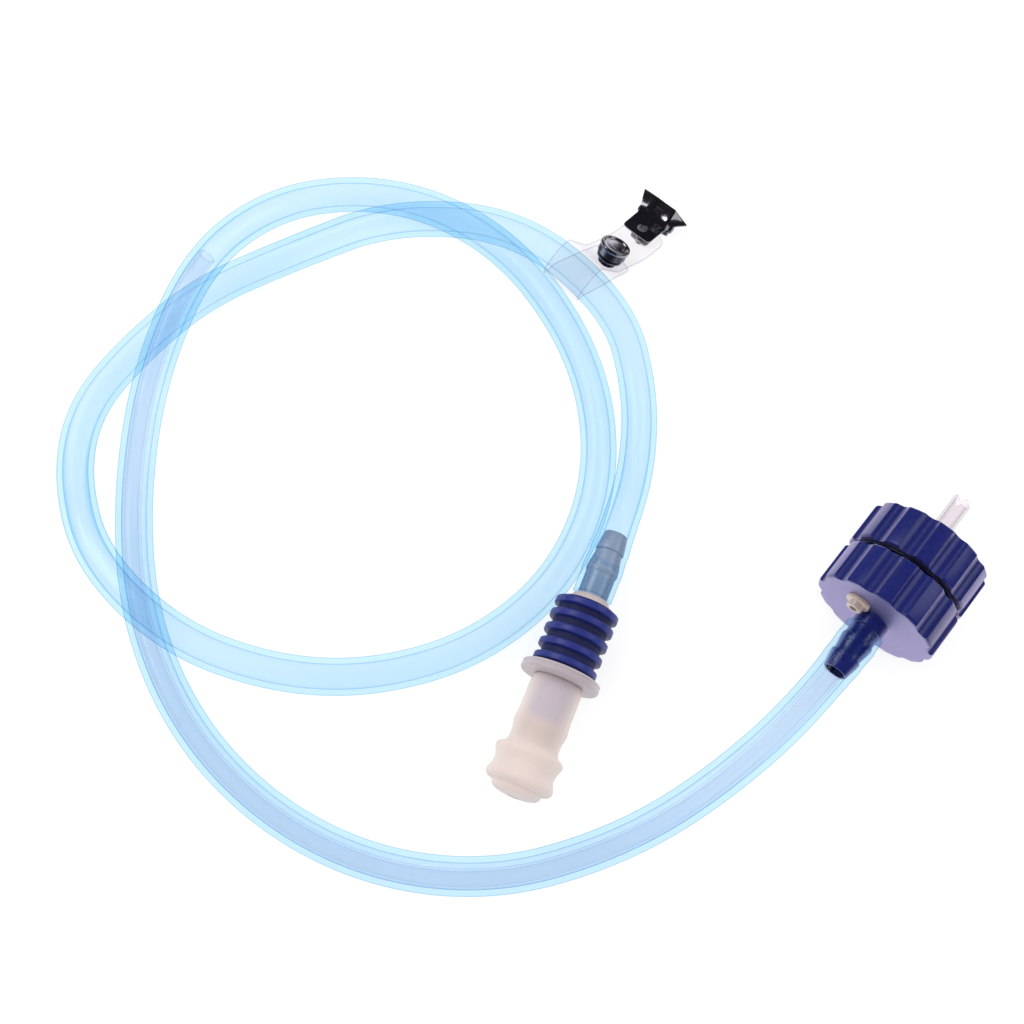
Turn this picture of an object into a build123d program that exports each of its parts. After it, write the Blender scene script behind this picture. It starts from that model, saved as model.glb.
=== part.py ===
from build123d import *
import math
import os

os.makedirs("parts", exist_ok=True)

# ---------------------------------------------------------------------------
# Bottle hydration tube kit: a screw cap with a bottle adaptor, a coiled drink
# hose with a rigid suction straw inside it, a bite valve and a strap clip.
# Millimetres. +Z up, the kit lies on Z = 0, and the origin is under the middle
# of the hard pieces (cap, valve, strap and clip).
# ---------------------------------------------------------------------------

# middle of the hard pieces in the layout's own coordinates
OX, OY = 55.005, 8.559


def at(x, y, z):
    """A layout point moved to the kit's own origin."""
    return Vector(x - OX, y - OY, z)


UP = Vector(0, 0, 1)

# --- drink hose --------------------------------------------------------------
HOSE_OD = 9.5
HOSE_ID = 6.5
STRAW_OD = 5.0
STRAW_ID = 3.7

# --- screw cap and adaptor ----------------------------------------------------
CAP_AZ = 50.93            # heading of the cap axis, towards the bottle
LAND_R = 16.3             # outer radius over the grip lands
FLUTES = 12
FLUTE_R = 3.05            # radius of each scallop
FLUTE_PCD_R = 18.05       # circle the scallop centres stand on
RING1_L = 11.8            # cap length
RING2_T0, RING2_T1 = 13.3, 24.6   # adaptor's ring, from and to
CAP_BORE_R = 12.6
NECK_R = 12.3
OPEN_R = 10.4
BOTTLE_BORE_R = 13.4
BARB_BORE_R = 2.6
THREAD_PITCH = 3.0

# --- bite valve ---------------------------------------------------------------
SOCKET_R = 5.35
HOUSING_R = 6.6
SLEEVE_IN_R = 6.65
SLEEVE_ROOT_R = 7.05
SLEEVE_RIB_R = 8.3
FLANGE_R = 10.2
VALVE_TRAVEL = 4.0

# --- strap, snap and clip -----------------------------------------------------
STRAP_W = 12.0
STRAP_T = 0.7
LOOP_R = 5.5              # middle radius of the strap's loop round the hose
SNAP_TILT = 22.0
SHEET = 0.5               # clip sheet thickness

# ---------------------------------------------------------------------------
# Hose route: the points of its runs, from the cap's barb to the valve's barb
# ---------------------------------------------------------------------------
ROUTE = [
    (86.5, -36.1, 16.30), (71.4, -54.8, 16.30), (47.0, -74.6, 7.20),
    (23.7, -87.2, 4.75), (-4.2, -94.8, 4.75), (-33.2, -91.8, 4.75),
    (-59.6, -79.0, 4.75), (-81.2, -57.6, 4.75), (-95.0, -29.1, 4.75),
    (-99.2, 3.5, 5.80), (-94.3, 34.2, 15.50), (-83.8, 66.8, 15.50),
    (-66.1, 87.8, 8.00), (-42.0, 93.8, 4.75), (-17.6, 87.5, 4.75),
    (4.5, 70.0, 4.75), (21.2, 39.7, 4.75), (24.0, 8.1, 4.75),
    (13.4, -18.9, 4.75), (-7.6, -37.3, 4.75), (-33.3, -45.4, 4.75),
    (-58.4, -45.0, 5.80), (-83.0, -37.9, 15.50), (-104.9, -17.8, 15.50),
    (-114.8, 7.3, 7.50), (-113.9, 27.6, 4.75), (-103.1, 43.6, 4.75),
    (-85.5, 61.6, 4.75), (-61.1, 73.4, 5.40), (-31.8, 79.5, 16.00),
    (2.8, 76.3, 16.00), (28.7, 54.3, 10.40), (34.3, 32.4, 5.40),
    (33.1, 11.1, 5.80), (27.2, -8.2, 10.25), (20.13, -25.85, 10.25),
]
STRAW_LAST = 11           # the suction straw ends just after this corner
STRAW_TAIL = 13.5


def corner_radii(points):
    """Arc radius at each inner corner: 0.45 of the shorter run over tan(half turn)."""
    radii = []
    for a, b, c in zip(points, points[1:], points[2:]):
        u, v = b - a, c - b
        half = math.radians(u.get_angle(v)) / 2
        radii.append(0.45 * min(u.length, v.length) / math.tan(half))
    return radii


hose_pts = [at(*p) for p in ROUTE]
hose_radii = corner_radii(hose_pts)
print("hose radii", [round(r, 1) for r in hose_radii])
print("hose runs", [round((b - a).length, 1) for a, b in zip(hose_pts, hose_pts[1:])])

with BuildPart() as drink_hose:
    with BuildLine() as hose_line:
        FilletPolyline(*hose_pts, radius=hose_radii)
    with BuildSketch(Plane(origin=hose_pts[0], z_dir=hose_pts[1] - hose_pts[0])):
        Circle(HOSE_OD / 2)
        Circle(HOSE_ID / 2, mode=Mode.SUBTRACT)
    sweep()
hose_length = hose_line.wires()[0].length
hose_section = math.pi * (HOSE_OD ** 2 - HOSE_ID ** 2) / 4
print("hose length", round(hose_length, 1), "volume", round(drink_hose.part.volume),
      "section x length", round(hose_section * hose_length))
drink_hose.part.label = "drink_hose"
export_step(drink_hose.part, "parts/drink_hose.step")

# ---------------------------------------------------------------------------
# Cap frame: t runs along the cap axis from the cap's hose-side face
# ---------------------------------------------------------------------------
CAP_AX = Vector(math.cos(math.radians(CAP_AZ)), math.sin(math.radians(CAP_AZ)), 0)
CAP_A = at(88.7, -33.4, 16.3)
CAP_RT = Plane(origin=CAP_A, x_dir=UP, z_dir=UP.cross(CAP_AX))     # x = radius, y = t
CAP_FACE = Plane(origin=CAP_A, x_dir=UP, z_dir=CAP_AX)             # x = up, y = side
CAP_AXIS = Axis(CAP_A, CAP_AX)
VENT_XY = (5.0, -5.6)                                              # vent, from the cap axis

# suction straw in the hose: the hose's own path, from just past the cap's barb
straw_pts = hose_pts[:STRAW_LAST + 1]
tail_dir = (hose_pts[STRAW_LAST + 1] - hose_pts[STRAW_LAST]).normalized()
straw_pts = straw_pts + [hose_pts[STRAW_LAST] + tail_dir * STRAW_TAIL]
with BuildPart() as inner_straw:
    with BuildLine() as straw_line:
        FilletPolyline(*straw_pts, radius=hose_radii[:STRAW_LAST])
    with BuildSketch(Plane(origin=straw_pts[0], z_dir=straw_pts[1] - straw_pts[0])):
        Circle(STRAW_OD / 2)
        Circle(STRAW_ID / 2, mode=Mode.SUBTRACT)
    sweep()
    with BuildSketch(CAP_FACE.offset(-17.2)):
        Circle(5)
    extrude(amount=20, mode=Mode.SUBTRACT)
straw_length = straw_line.wires()[0].length
straw_section = math.pi * (STRAW_OD ** 2 - STRAW_ID ** 2) / 4
print("straw length", round(straw_length - 13.7, 1), "volume", round(inner_straw.part.volume),
      "section x length", round(straw_section * (straw_length - 13.7)))
inner_straw.part.label = "inner_straw"
export_step(inner_straw.part, "parts/inner_straw.step")

# screw cap with its hose barb, fluted grip and vent hole
with BuildPart() as cap_body:
    with BuildSketch(CAP_RT):
        with BuildLine():
            Polyline((BARB_BORE_R, -16.5), (3.1, -16.5), (3.9, -11.8), (3.4, -11.7), (4.15, -6.8),
                     (3.75, -6.6), (3.75, -3.5), (4.3, -3.5), (4.3, 0), (15.4, 0),
                     (LAND_R, 0.9), (LAND_R, 11.1), (15.6, RING1_L), (CAP_BORE_R, RING1_L),
                     (CAP_BORE_R, 2.5), (4.6, 2.5), (4.6, 0.9), (BARB_BORE_R, 0.9), close=True)
        make_face()
    revolve(axis=CAP_AXIS)
    with BuildSketch(CAP_FACE):
        with PolarLocations(FLUTE_PCD_R, FLUTES, start_angle=8.5):
            Circle(FLUTE_R)
        with Locations(VENT_XY):
            Circle(2.3)
    extrude(amount=2.5, mode=Mode.SUBTRACT)
    with BuildSketch(CAP_FACE.offset(2.5)):
        with PolarLocations(FLUTE_PCD_R, FLUTES, start_angle=8.5):
            Circle(FLUTE_R)
    extrude(amount=RING1_L - 2.5, mode=Mode.SUBTRACT)
cap_body.part.label = "cap_body"
export_step(cap_body.part, "parts/cap_body.step")

# flat washer that seals the cap on a narrow bottle neck
with BuildPart() as cap_gasket:
    with BuildSketch(CAP_FACE.offset(2.5)):
        Circle(12.4)
        Circle(10.5, mode=Mode.SUBTRACT)
    extrude(amount=1.4)
cap_gasket.part.label = "cap_gasket"
export_step(cap_gasket.part, "parts/cap_gasket.step")

# lip seal the straw slides through
with BuildPart() as straw_seal:
    with BuildSketch(CAP_RT):
        with BuildLine():
            Polyline((2.52, 1.5), (2.85, 0.95), (4.55, 0.95), (4.55, 2.6), (3.3, 3.0),
                     (2.52, 2.4), close=True)
        make_face()
    revolve(axis=CAP_AXIS)
straw_seal.part.label = "straw_seal"
export_step(straw_seal.part, "parts/straw_seal.step")

# air vent: a flanged plug with a through bore, and an umbrella flap inside
VENT_O = CAP_A + UP * VENT_XY[0] + CAP_AX.cross(UP) * VENT_XY[1]
VENT_RT = Plane(origin=VENT_O, x_dir=UP, z_dir=UP.cross(CAP_AX))
VENT_AXIS = Axis(VENT_O, CAP_AX)
with BuildPart() as vent_seat:
    with BuildSketch(VENT_RT):
        with BuildLine():
            Polyline((1.1, -2.6), (1.7, -2.6), (2.0, -2.3), (2.0, -1.0), (2.9, -1.0),
                     (3.1, -0.8), (3.1, 0), (2.25, 0), (2.25, 2.55), (1.1, 2.55), close=True)
        make_face()
    revolve(axis=VENT_AXIS)
vent_seat.part.label = "vent_seat"
export_step(vent_seat.part, "parts/vent_seat.step")

with BuildPart() as vent_flap:
    with BuildSketch(VENT_RT):
        with BuildLine():
            Polyline((0, -1.8), (0.75, -1.6), (0.5, -0.9), (0.5, 2.6), (2.7, 2.6), (2.7, 2.85),
                     (1.0, 3.2), (0, 3.2), close=True)
        make_face()
    revolve(axis=VENT_AXIS)
vent_flap.part.label = "vent_flap"
export_step(vent_flap.part, "parts/vent_flap.step")

# bottle adaptor: a hollow neck that screws into the cap, and a fluted ring
with BuildPart() as adaptor_ring:
    with BuildSketch(CAP_RT):
        with BuildLine():
            Polyline((OPEN_R, 4.2), (NECK_R, 4.2), (NECK_R, RING2_T0), (15.6, RING2_T0),
                     (LAND_R, 14.0), (LAND_R, 23.9), (15.6, RING2_T1), (BOTTLE_BORE_R, RING2_T1),
                     (BOTTLE_BORE_R, 14.6), (OPEN_R, 14.6), close=True)
        make_face()
    revolve(axis=CAP_AXIS)
    with BuildSketch(CAP_FACE.offset(RING2_T0)):
        with PolarLocations(FLUTE_PCD_R, FLUTES, start_angle=15.25):
            Circle(FLUTE_R)
    extrude(amount=RING2_T1 - RING2_T0, mode=Mode.SUBTRACT)
adaptor_ring.part.label = "adaptor_ring"
export_step(adaptor_ring.part, "parts/adaptor_ring.step")

with BuildPart() as adaptor_washer:
    with BuildSketch(CAP_FACE.offset(12.2)):
        Circle(15.3)
        Circle(12.7, mode=Mode.SUBTRACT)
    extrude(amount=1.0)
adaptor_washer.part.label = "adaptor_washer"
export_step(adaptor_washer.part, "parts/adaptor_washer.step")

with BuildPart() as bottle_gasket:
    with BuildSketch(CAP_FACE.offset(14.6)):
        Circle(13.2)
        Circle(10.8, mode=Mode.SUBTRACT)
    extrude(amount=1.5)
bottle_gasket.part.label = "bottle_gasket"
export_step(bottle_gasket.part, "parts/bottle_gasket.step")

# straw stub: the straight end of the suction straw, notched at its tip
with BuildPart() as straw_stub:
    with BuildSketch(CAP_FACE.offset(-17.0)):
        Circle(STRAW_OD / 2)
        Circle(STRAW_ID / 2, mode=Mode.SUBTRACT)
    extrude(amount=56.8)
    with BuildSketch(CAP_FACE.offset(37.6)):
        Rectangle(6, 1.5)
    extrude(amount=3, mode=Mode.SUBTRACT)
straw_stub.part.label = "straw_stub"
export_step(straw_stub.part, "parts/straw_stub.step")

# ---------------------------------------------------------------------------
# Bite valve: t runs from the flange's middle towards the mouth
# ---------------------------------------------------------------------------
VAL_D = Vector(-0.37158, -0.9284, 0).normalized()
VAL_F = at(11.84, -46.55, 10.25)
VAL_RT = Plane(origin=VAL_F, x_dir=UP, z_dir=UP.cross(VAL_D))
VAL_FACE = Plane(origin=VAL_F, x_dir=UP, z_dir=VAL_D)
VAL_AXIS = Axis(VAL_F, VAL_D)

with BuildPart() as valve_connector:
    with BuildSketch(VAL_RT):
        with BuildLine():
            Polyline((2.1, -39.8), (3.0, -39.8), (3.7, -34.8), (3.3, -34.6), (4.2, -29.3),
                     (3.85, -28.2), (3.85, -21.8), (4.45, -21.8), (5.55, -20.2), (5.55, -18.9),
                     (HOUSING_R, -18.9), (HOUSING_R, -2.0), (SOCKET_R, -2.0),
                     (SOCKET_R, -17.9), (2.1, -17.9), close=True)
        make_face()
    revolve(axis=VAL_AXIS)
valve_connector.part.label = "valve_connector"
export_step(valve_connector.part, "parts/valve_connector.step")

# ribbed grip sleeve round the connector's housing
RIBS = (-18.3, -14.7, -10.8, -6.9, -3.1)
sleeve_outline = [(5.65, -19.7), (7.3, -19.7)]
for rib in RIBS:
    sleeve_outline += [(SLEEVE_ROOT_R, rib - 1.05), (SLEEVE_RIB_R, rib - 0.8),
                       (SLEEVE_RIB_R, rib + 0.8), (SLEEVE_ROOT_R, rib + 1.05)]
sleeve_outline += [(SLEEVE_IN_R, -1.9), (SLEEVE_IN_R, -18.95), (5.65, -18.95)]
with BuildPart() as grip_sleeve:
    with BuildSketch(VAL_RT):
        with BuildLine():
            Polyline(*sleeve_outline, close=True)
        make_face()
    revolve(axis=VAL_AXIS)
grip_sleeve.part.label = "grip_sleeve"
export_step(grip_sleeve.part, "parts/grip_sleeve.step")

# fixed plug that closes the spout's throat when the spout is pushed home
with BuildPart() as shutoff_plug:
    with BuildSketch(VAL_RT):
        with BuildLine():
            Polyline((0, -17.9), (5.3, -17.9), (5.3, -16.5), (1.6, -16.5), (1.6, -11.6),
                     (2.5, -11.0), (2.5, -9.4), (1.9, -9.0), (0, -9.0), close=True)
        make_face()
    revolve(axis=VAL_AXIS)
    with BuildSketch(VAL_FACE.offset(-17.9)):
        with PolarLocations(3.4, 4, start_angle=45):
            Circle(1.2)
    extrude(amount=1.4, mode=Mode.SUBTRACT)
shutoff_plug.part.label = "shutoff_plug"
export_step(shutoff_plug.part, "parts/shutoff_plug.step")

# push-pull spout with its flange and tail
with BuildPart() as valve_spout:
    with BuildSketch(VAL_RT):
        with BuildLine():
            Polyline((4.0, -12.5), (5.2, -12.5), (5.2, -8.0), (4.15, -8.0), (4.15, -6.4),
                     (5.2, -6.4), (5.2, -1.4), (9.8, -1.4), (FLANGE_R, -1.0),
                     (FLANGE_R, 0.7), (9.8, 1.1), (5.95, 1.1), (5.95, 12.2), (4.3, 12.2),
                     (4.3, 17.8), (3.9, 18.2), (2.6, 18.2), (2.6, -10.9), (4.0, -11.1), close=True)
        make_face()
    revolve(axis=VAL_AXIS)
valve_spout.part.label = "valve_spout"
export_step(valve_spout.part, "parts/valve_spout.step")

with BuildPart() as spout_oring:
    with BuildSketch(Plane(origin=VAL_F + VAL_D * -7.2 + UP * 4.75, x_dir=UP,
                           z_dir=UP.cross(VAL_D))):
        Circle(0.55)
    revolve(axis=VAL_AXIS)
spout_oring.part.label = "spout_oring"
export_step(spout_oring.part, "parts/spout_oring.step")

# silicone mouthpiece with two bulbs and a slit end wall
with BuildPart() as mouthpiece:
    with BuildSketch(VAL_RT):
        with BuildLine():
            Polyline((6.0, 1.25), (6.3, 1.25), (6.6, 3.0), (6.6, 10.0), (6.8, 12.0), (6.9, 13.0),
                     (6.65, 14.5), (6.4, 15.5), (6.4, 18.0), (6.9, 19.0), (7.9, 19.6),
                     (8.65, 20.4), (8.65, 21.1), (8.25, 22.0), (7.85, 23.0), (7.75, 24.0),
                     (7.9, 25.0), (8.35, 26.0), (8.6, 27.0), (8.45, 28.0), (7.65, 28.5),
                     (6.3, 29.0), (6.1, 29.8), (5.2, 30.5), (3.5, 31.0), (0, 31.3),
                     (0, 29.6), (3.4, 29.4), (4.9, 28.2), (5.1, 26.8), (5.0, 24.0), (5.1, 20.8),
                     (4.35, 19.0), (4.35, 12.25), (6.0, 12.25), close=True)
        make_face()
    revolve(axis=VAL_AXIS)
    with BuildSketch(VAL_FACE.offset(29.0)):
        Rectangle(0.3, 6.0)
    extrude(amount=3.0, mode=Mode.SUBTRACT)
mouthpiece.part.label = "mouthpiece"
export_step(mouthpiece.part, "parts/mouthpiece.step")

# ---------------------------------------------------------------------------
# Strap and clip. The strap loops round the straight of the run from route
# point 30 to 31. HD is the hose's direction there, HP is level and square to
# it, pointing to the clip, and HN is square to both.
# ---------------------------------------------------------------------------
RUN_A, RUN_B = hose_pts[30], hose_pts[31]
HD = (RUN_B - RUN_A).normalized()
HH = Vector(HD.X, HD.Y, 0).normalized()
HP = Vector(-HH.Y, HH.X, 0)
HN = HD.cross(HP)
RUN_M = (RUN_A + RUN_B) / 2
LOOP_C = RUN_M + HD * 1.3
SKEW = math.radians(9.0)                                           # strap against the hose's square
STRAP_L = HP * math.cos(SKEW) + HH * math.sin(SKEW)                # strap's level heading
STRAP_X = HH * math.cos(SKEW) - HP * math.sin(SKEW)                # strap's width


def lay(p, z, off=0.0):
    """Point of the strap's middle line, p from the hose axis, at height z."""
    c = LOOP_C + HP * p + HH * (p * math.tan(SKEW) + off)
    return Vector(c.X, c.Y, z)


def on_loop(angle):
    """Point of the loop's middle circle, and its outward radius."""
    a = math.radians(angle)
    out = HP * math.cos(a) + HN * math.sin(a)
    return LOOP_C + out * LOOP_R, out


def along(slope):
    """Strap heading that falls by slope degrees."""
    s = math.radians(slope)
    return STRAP_L * math.cos(s) - UP * math.sin(s)


TOP_ANGLE, LOW_ANGLE = 32.1, -107.9
top_pt, top_out = on_loop(TOP_ANGLE)
low_pt, low_out = on_loop(LOW_ANGLE)
SNAP_N = STRAP_L * math.sin(math.radians(SNAP_TILT)) + UP * math.cos(math.radians(SNAP_TILT))
SNAP_LOW = lay(14.3, 2.3)
SNAP_UP = SNAP_LOW + SNAP_N * 1.95
SNAP_T = along(SNAP_TILT)
RIVET = lay(25.0, 0.8, 0.3)

with BuildPart() as strap:
    # loop round the hose
    with BuildSketch(Plane(origin=LOOP_C, x_dir=HP, z_dir=HD)):
        Circle(LOOP_R + STRAP_T / 2)
        Circle(LOOP_R - STRAP_T / 2, mode=Mode.SUBTRACT)
        with BuildLine():
            Polyline((0, 0),
                     (20 * math.cos(math.radians(TOP_ANGLE)), 20 * math.sin(math.radians(TOP_ANGLE))),
                     (25, -8),
                     (20 * math.cos(math.radians(LOW_ANGLE)), 20 * math.sin(math.radians(LOW_ANGLE))),
                     close=True)
        make_face(mode=Mode.SUBTRACT)
    extrude(amount=STRAP_W / 2, both=True)
    # upper layer: down from the loop, through the snap, to the rivet
    with BuildSketch(Plane(origin=top_pt, x_dir=HD, z_dir=top_out.cross(HD) * -1)):
        Rectangle(STRAP_W, STRAP_T)
    with BuildSketch(Plane(origin=SNAP_UP - SNAP_T * 4.3, x_dir=STRAP_X, z_dir=along(40))):
        Rectangle(STRAP_W, STRAP_T * 1.08)
    loft(ruled=True)
    with BuildSketch(Plane(origin=SNAP_UP - SNAP_T * 4.3, x_dir=STRAP_X, z_dir=along(40))):
        Rectangle(STRAP_W, STRAP_T * 1.08)
    with BuildSketch(Plane(origin=SNAP_UP + SNAP_T * 4.3, x_dir=STRAP_X, z_dir=along(24))):
        Rectangle(STRAP_W, STRAP_T)
    with BuildSketch(Plane(origin=lay(22.2, 0.8), x_dir=STRAP_X, z_dir=along(12))):
        Rectangle(STRAP_W, STRAP_T)
    with BuildSketch(Plane(origin=lay(28.5, 0.8), x_dir=STRAP_X, z_dir=along(0))):
        Rectangle(STRAP_W, STRAP_T)
    loft(ruled=True)
    # lower layer: from under the hose to just past the snap
    with BuildSketch(Plane(origin=low_pt, x_dir=HD, z_dir=low_out.cross(HD))):
        Rectangle(STRAP_W, STRAP_T)
    with BuildSketch(Plane(origin=SNAP_LOW - SNAP_T * 4.3, x_dir=STRAP_X, z_dir=along(20))):
        Rectangle(STRAP_W, STRAP_T)
    with BuildSketch(Plane(origin=SNAP_LOW + SNAP_T * 4.6, x_dir=STRAP_X, z_dir=along(SNAP_TILT))):
        Rectangle(STRAP_W, STRAP_T)
    loft(ruled=True)
    # snap holes through both layers, and the rivet hole
    with BuildSketch(Plane(origin=SNAP_LOW - SNAP_N * 1.0, x_dir=STRAP_X, z_dir=SNAP_N)):
        Circle(1.45)
    extrude(amount=4.0, mode=Mode.SUBTRACT)
    with BuildSketch(Plane(origin=RIVET - UP * 0.6, x_dir=STRAP_X, z_dir=UP)):
        Circle(1.1)
    extrude(amount=1.2, mode=Mode.SUBTRACT)
strap.part.label = "strap"
export_step(strap.part, "parts/strap.step")

# snap fastener: cap and socket on the upper layer, stud and eyelet on the lower
SNAP_RT = Plane(origin=SNAP_UP, x_dir=STRAP_X, z_dir=STRAP_X.cross(SNAP_N))
SNAP_AXIS = Axis(SNAP_UP, SNAP_N)
with BuildPart() as snap_cap:
    with BuildSketch(SNAP_RT):
        with BuildLine():
            Polyline((0, -0.56), (1.4, -0.56), (1.4, 0.4), (3.9, 0.4), (4.1, 0.7), (4.0, 1.0),
                     (4.15, 1.3), (4.0, 1.6), (4.15, 1.9), (4.0, 2.2), (4.35, 2.6), (4.4, 3.2),
                     (4.1, 3.6), (3.5, 3.6), (3.3, 3.2), (0, 3.1), close=True)
        make_face()
    revolve(axis=SNAP_AXIS)
snap_cap.part.label = "snap_cap"
export_step(snap_cap.part, "parts/snap_cap.step")

with BuildPart() as snap_socket:
    with BuildSketch(SNAP_RT):
        with BuildLine():
            Polyline((1.42, -0.38), (3.6, -0.38), (3.6, -0.8), (3.3, -0.98), (1.75, -0.98),
                     (1.75, -0.6), (1.42, -0.6), close=True)
        make_face()
    revolve(axis=SNAP_AXIS)
snap_socket.part.label = "snap_socket"
export_step(snap_socket.part, "parts/snap_socket.step")

with BuildPart() as snap_stud:
    with BuildSketch(SNAP_RT):
        with BuildLine():
            Polyline((1.25, -1.57), (3.4, -1.57), (3.4, -1.3), (1.5, -1.2), (1.6, -0.85),
                     (1.3, -0.65), (0, -0.65), (0, -0.95), (1.25, -1.0), close=True)
        make_face()
    revolve(axis=SNAP_AXIS)
snap_stud.part.label = "snap_stud"
export_step(snap_stud.part, "parts/snap_stud.step")

with BuildPart() as snap_eyelet:
    with BuildSketch(SNAP_RT):
        with BuildLine():
            Polyline((0, -2.7), (3.0, -2.7), (3.3, -2.5), (3.3, -2.33), (1.2, -2.33),
                     (1.2, -1.05), (0, -1.05), close=True)
        make_face()
    revolve(axis=SNAP_AXIS)
snap_eyelet.part.label = "snap_eyelet"
export_step(snap_eyelet.part, "parts/snap_eyelet.step")

# clip frame: X across the clip, Y towards its jaws, origin under the rivet
CLIP_O = Vector(RIVET.X, RIVET.Y, 0)
CLIP_TOP = Plane(origin=CLIP_O, x_dir=HH, z_dir=UP)                # x across, y to the jaws
CLIP_SIDE = Plane(origin=CLIP_O, x_dir=HP, z_dir=HH)               # x to the jaws, y up
PIN_Y, PIN_Z = 6.5, 3.1

with BuildPart() as clip_lower_jaw:
    # tail under the tab, and the jaw plate
    with BuildSketch(CLIP_TOP.offset(1.2)):
        with BuildLine():
            Polyline((-3.6, -2.4), (3.6, -2.4), (4.2, -1.6), (4.2, 4.9), (5.2, 4.9), (5.2, 10.9),
                     (-5.2, 10.9), (-5.2, 4.9), (-4.2, 4.9), (-4.2, -1.6), close=True)
        make_face()
    extrude(amount=0.55)
    # folded-up ears that carry the pin
    for side in (-1, 1):
        with BuildSketch(CLIP_SIDE.offset(4.95 * side)):
            with BuildLine():
                Polyline((4.9, 1.2), (8.2, 1.2), (8.2, 3.2), (7.4, 4.3), (5.7, 4.3), (4.9, 3.2),
                         close=True)
            make_face()
        extrude(amount=0.25, both=True)
    with BuildSketch(CLIP_SIDE.offset(-6)):
        with Locations((PIN_Y, PIN_Z)):
            Circle(0.65)
    extrude(amount=12, mode=Mode.SUBTRACT)
    with BuildSketch(CLIP_TOP):
        Circle(1.1)
    extrude(amount=3, mode=Mode.SUBTRACT)
clip_lower_jaw.part.label = "clip_lower_jaw"
export_step(clip_lower_jaw.part, "parts/clip_lower_jaw.step")

with BuildPart() as clip_upper_jaw:
    # thumb tab and waist
    with BuildSketch(CLIP_SIDE):
        with BuildLine():
            Polyline((-3.1, 8.2), (5.4, 4.95), (8.2, 4.95), (8.2, 4.45), (5.3, 4.45),
                     (-3.3, 7.72), close=True)
        make_face()
    extrude(amount=4.6, both=True)
    # flared jaw with its sides turned down
    with BuildSketch(Plane(origin=CLIP_O + HP * 8.2, x_dir=HH, z_dir=HP * -1)):
        with BuildLine():
            Polyline((-4.6, 3.8), (-4.6, 4.5), (-4.2, 4.95), (4.2, 4.95), (4.6, 4.5), (4.6, 3.8),
                     (4.1, 3.8), (4.1, 4.45), (-4.1, 4.45), (-4.1, 3.8), close=True)
        make_face()
    with BuildSketch(Plane(origin=CLIP_O + HP * 10.8, x_dir=HH, z_dir=HP * -1)):
        with BuildLine():
            Polyline((-7.6, 4.5), (-7.5, 5.1), (-3.4, 5.4), (3.0, 5.4), (7.2, 2.95), (7.6, 2.4),
                     (6.9, 2.35), (2.9, 4.85), (-3.3, 4.85), (-7.1, 4.5), close=True)
        make_face()
    loft(ruled=True)
    # front wall whose lower edge closes on the other jaw
    with BuildSketch(Plane(origin=CLIP_O + HP * 10.8, x_dir=HH, z_dir=HP * -1)):
        with BuildLine():
            Polyline((-7.6, 4.5), (-7.5, 5.1), (-3.4, 5.4), (3.0, 5.4), (7.2, 2.95), (7.6, 2.4),
                     (7.4, 1.85), (-7.4, 1.85), close=True)
        make_face()
    extrude(amount=0.5)
    # inner ears on the pin
    for side in (-1, 1):
        with BuildSketch(CLIP_SIDE.offset(4.35 * side)):
            with BuildLine():
                Polyline((5.4, 4.5), (7.8, 4.5), (7.8, 2.7), (7.1, 2.1), (5.9, 2.1), (5.4, 2.7),
                         close=True)
            make_face()
        extrude(amount=0.25, both=True)
    with BuildSketch(CLIP_SIDE.offset(-6)):
        with Locations((PIN_Y, PIN_Z)):
            Circle(0.65)
    extrude(amount=12, mode=Mode.SUBTRACT)
    # tool hole over the rivet, and the window beside it
    with BuildSketch(CLIP_TOP.offset(3.0)):
        Circle(1.5)
        with Locations((2.7, 2.7)):
            RectangleRounded(2.6, 3.0, 0.4)
    extrude(amount=6, mode=Mode.SUBTRACT)
clip_upper_jaw.part.label = "clip_upper_jaw"
export_step(clip_upper_jaw.part, "parts/clip_upper_jaw.step")

with BuildPart() as clip_pin:
    with BuildSketch(CLIP_SIDE.offset(-5.8)):
        with Locations((PIN_Y, PIN_Z)):
            Circle(0.6)
    extrude(amount=11.6)
    with BuildSketch(CLIP_SIDE.offset(-5.8)):
        with Locations((PIN_Y, PIN_Z)):
            Circle(1.0)
    extrude(amount=0.5)
    with BuildSketch(CLIP_SIDE.offset(5.3)):
        with Locations((PIN_Y, PIN_Z)):
            Circle(1.0)
    extrude(amount=0.5)
clip_pin.part.label = "clip_pin"
export_step(clip_pin.part, "parts/clip_pin.step")

# torsion spring: close coils round the pin, with a leg on each jaw
with BuildPart() as clip_spring:
    with BuildSketch(CLIP_SIDE.offset(-2.5)):
        with Locations((PIN_Y, PIN_Z)):
            Circle(1.25)
            Circle(0.75, mode=Mode.SUBTRACT)
    extrude(amount=5.0)
    with BuildSketch(CLIP_SIDE.offset(-2.5)):
        with BuildLine():
            Polyline((PIN_Y, 1.85), (PIN_Y, 2.3), (1.9, 2.3), (1.9, 1.85), close=True)
        make_face()
    extrude(amount=0.5)
    with BuildSketch(CLIP_SIDE.offset(2.0)):
        with BuildLine():
            Polyline((PIN_Y, 3.9), (PIN_Y, 4.3), (5.5, 4.3), (2.3, 5.5), (2.2, 5.1),
                     (5.2, 3.9), close=True)
        make_face()
    extrude(amount=0.5)
clip_spring.part.label = "clip_spring"
export_step(clip_spring.part, "parts/clip_spring.step")

with BuildPart() as clip_rivet:
    with BuildSketch(CLIP_TOP.offset(0.05)):
        Circle(1.8)
    extrude(amount=0.37)
    with BuildSketch(CLIP_TOP.offset(0.05)):
        Circle(1.05)
    extrude(amount=2.2)
    with BuildSketch(CLIP_TOP.offset(1.78)):
        Circle(2.1)
    extrude(amount=0.5)
clip_rivet.part.label = "clip_rivet"
export_step(clip_rivet.part, "parts/clip_rivet.step")

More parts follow.
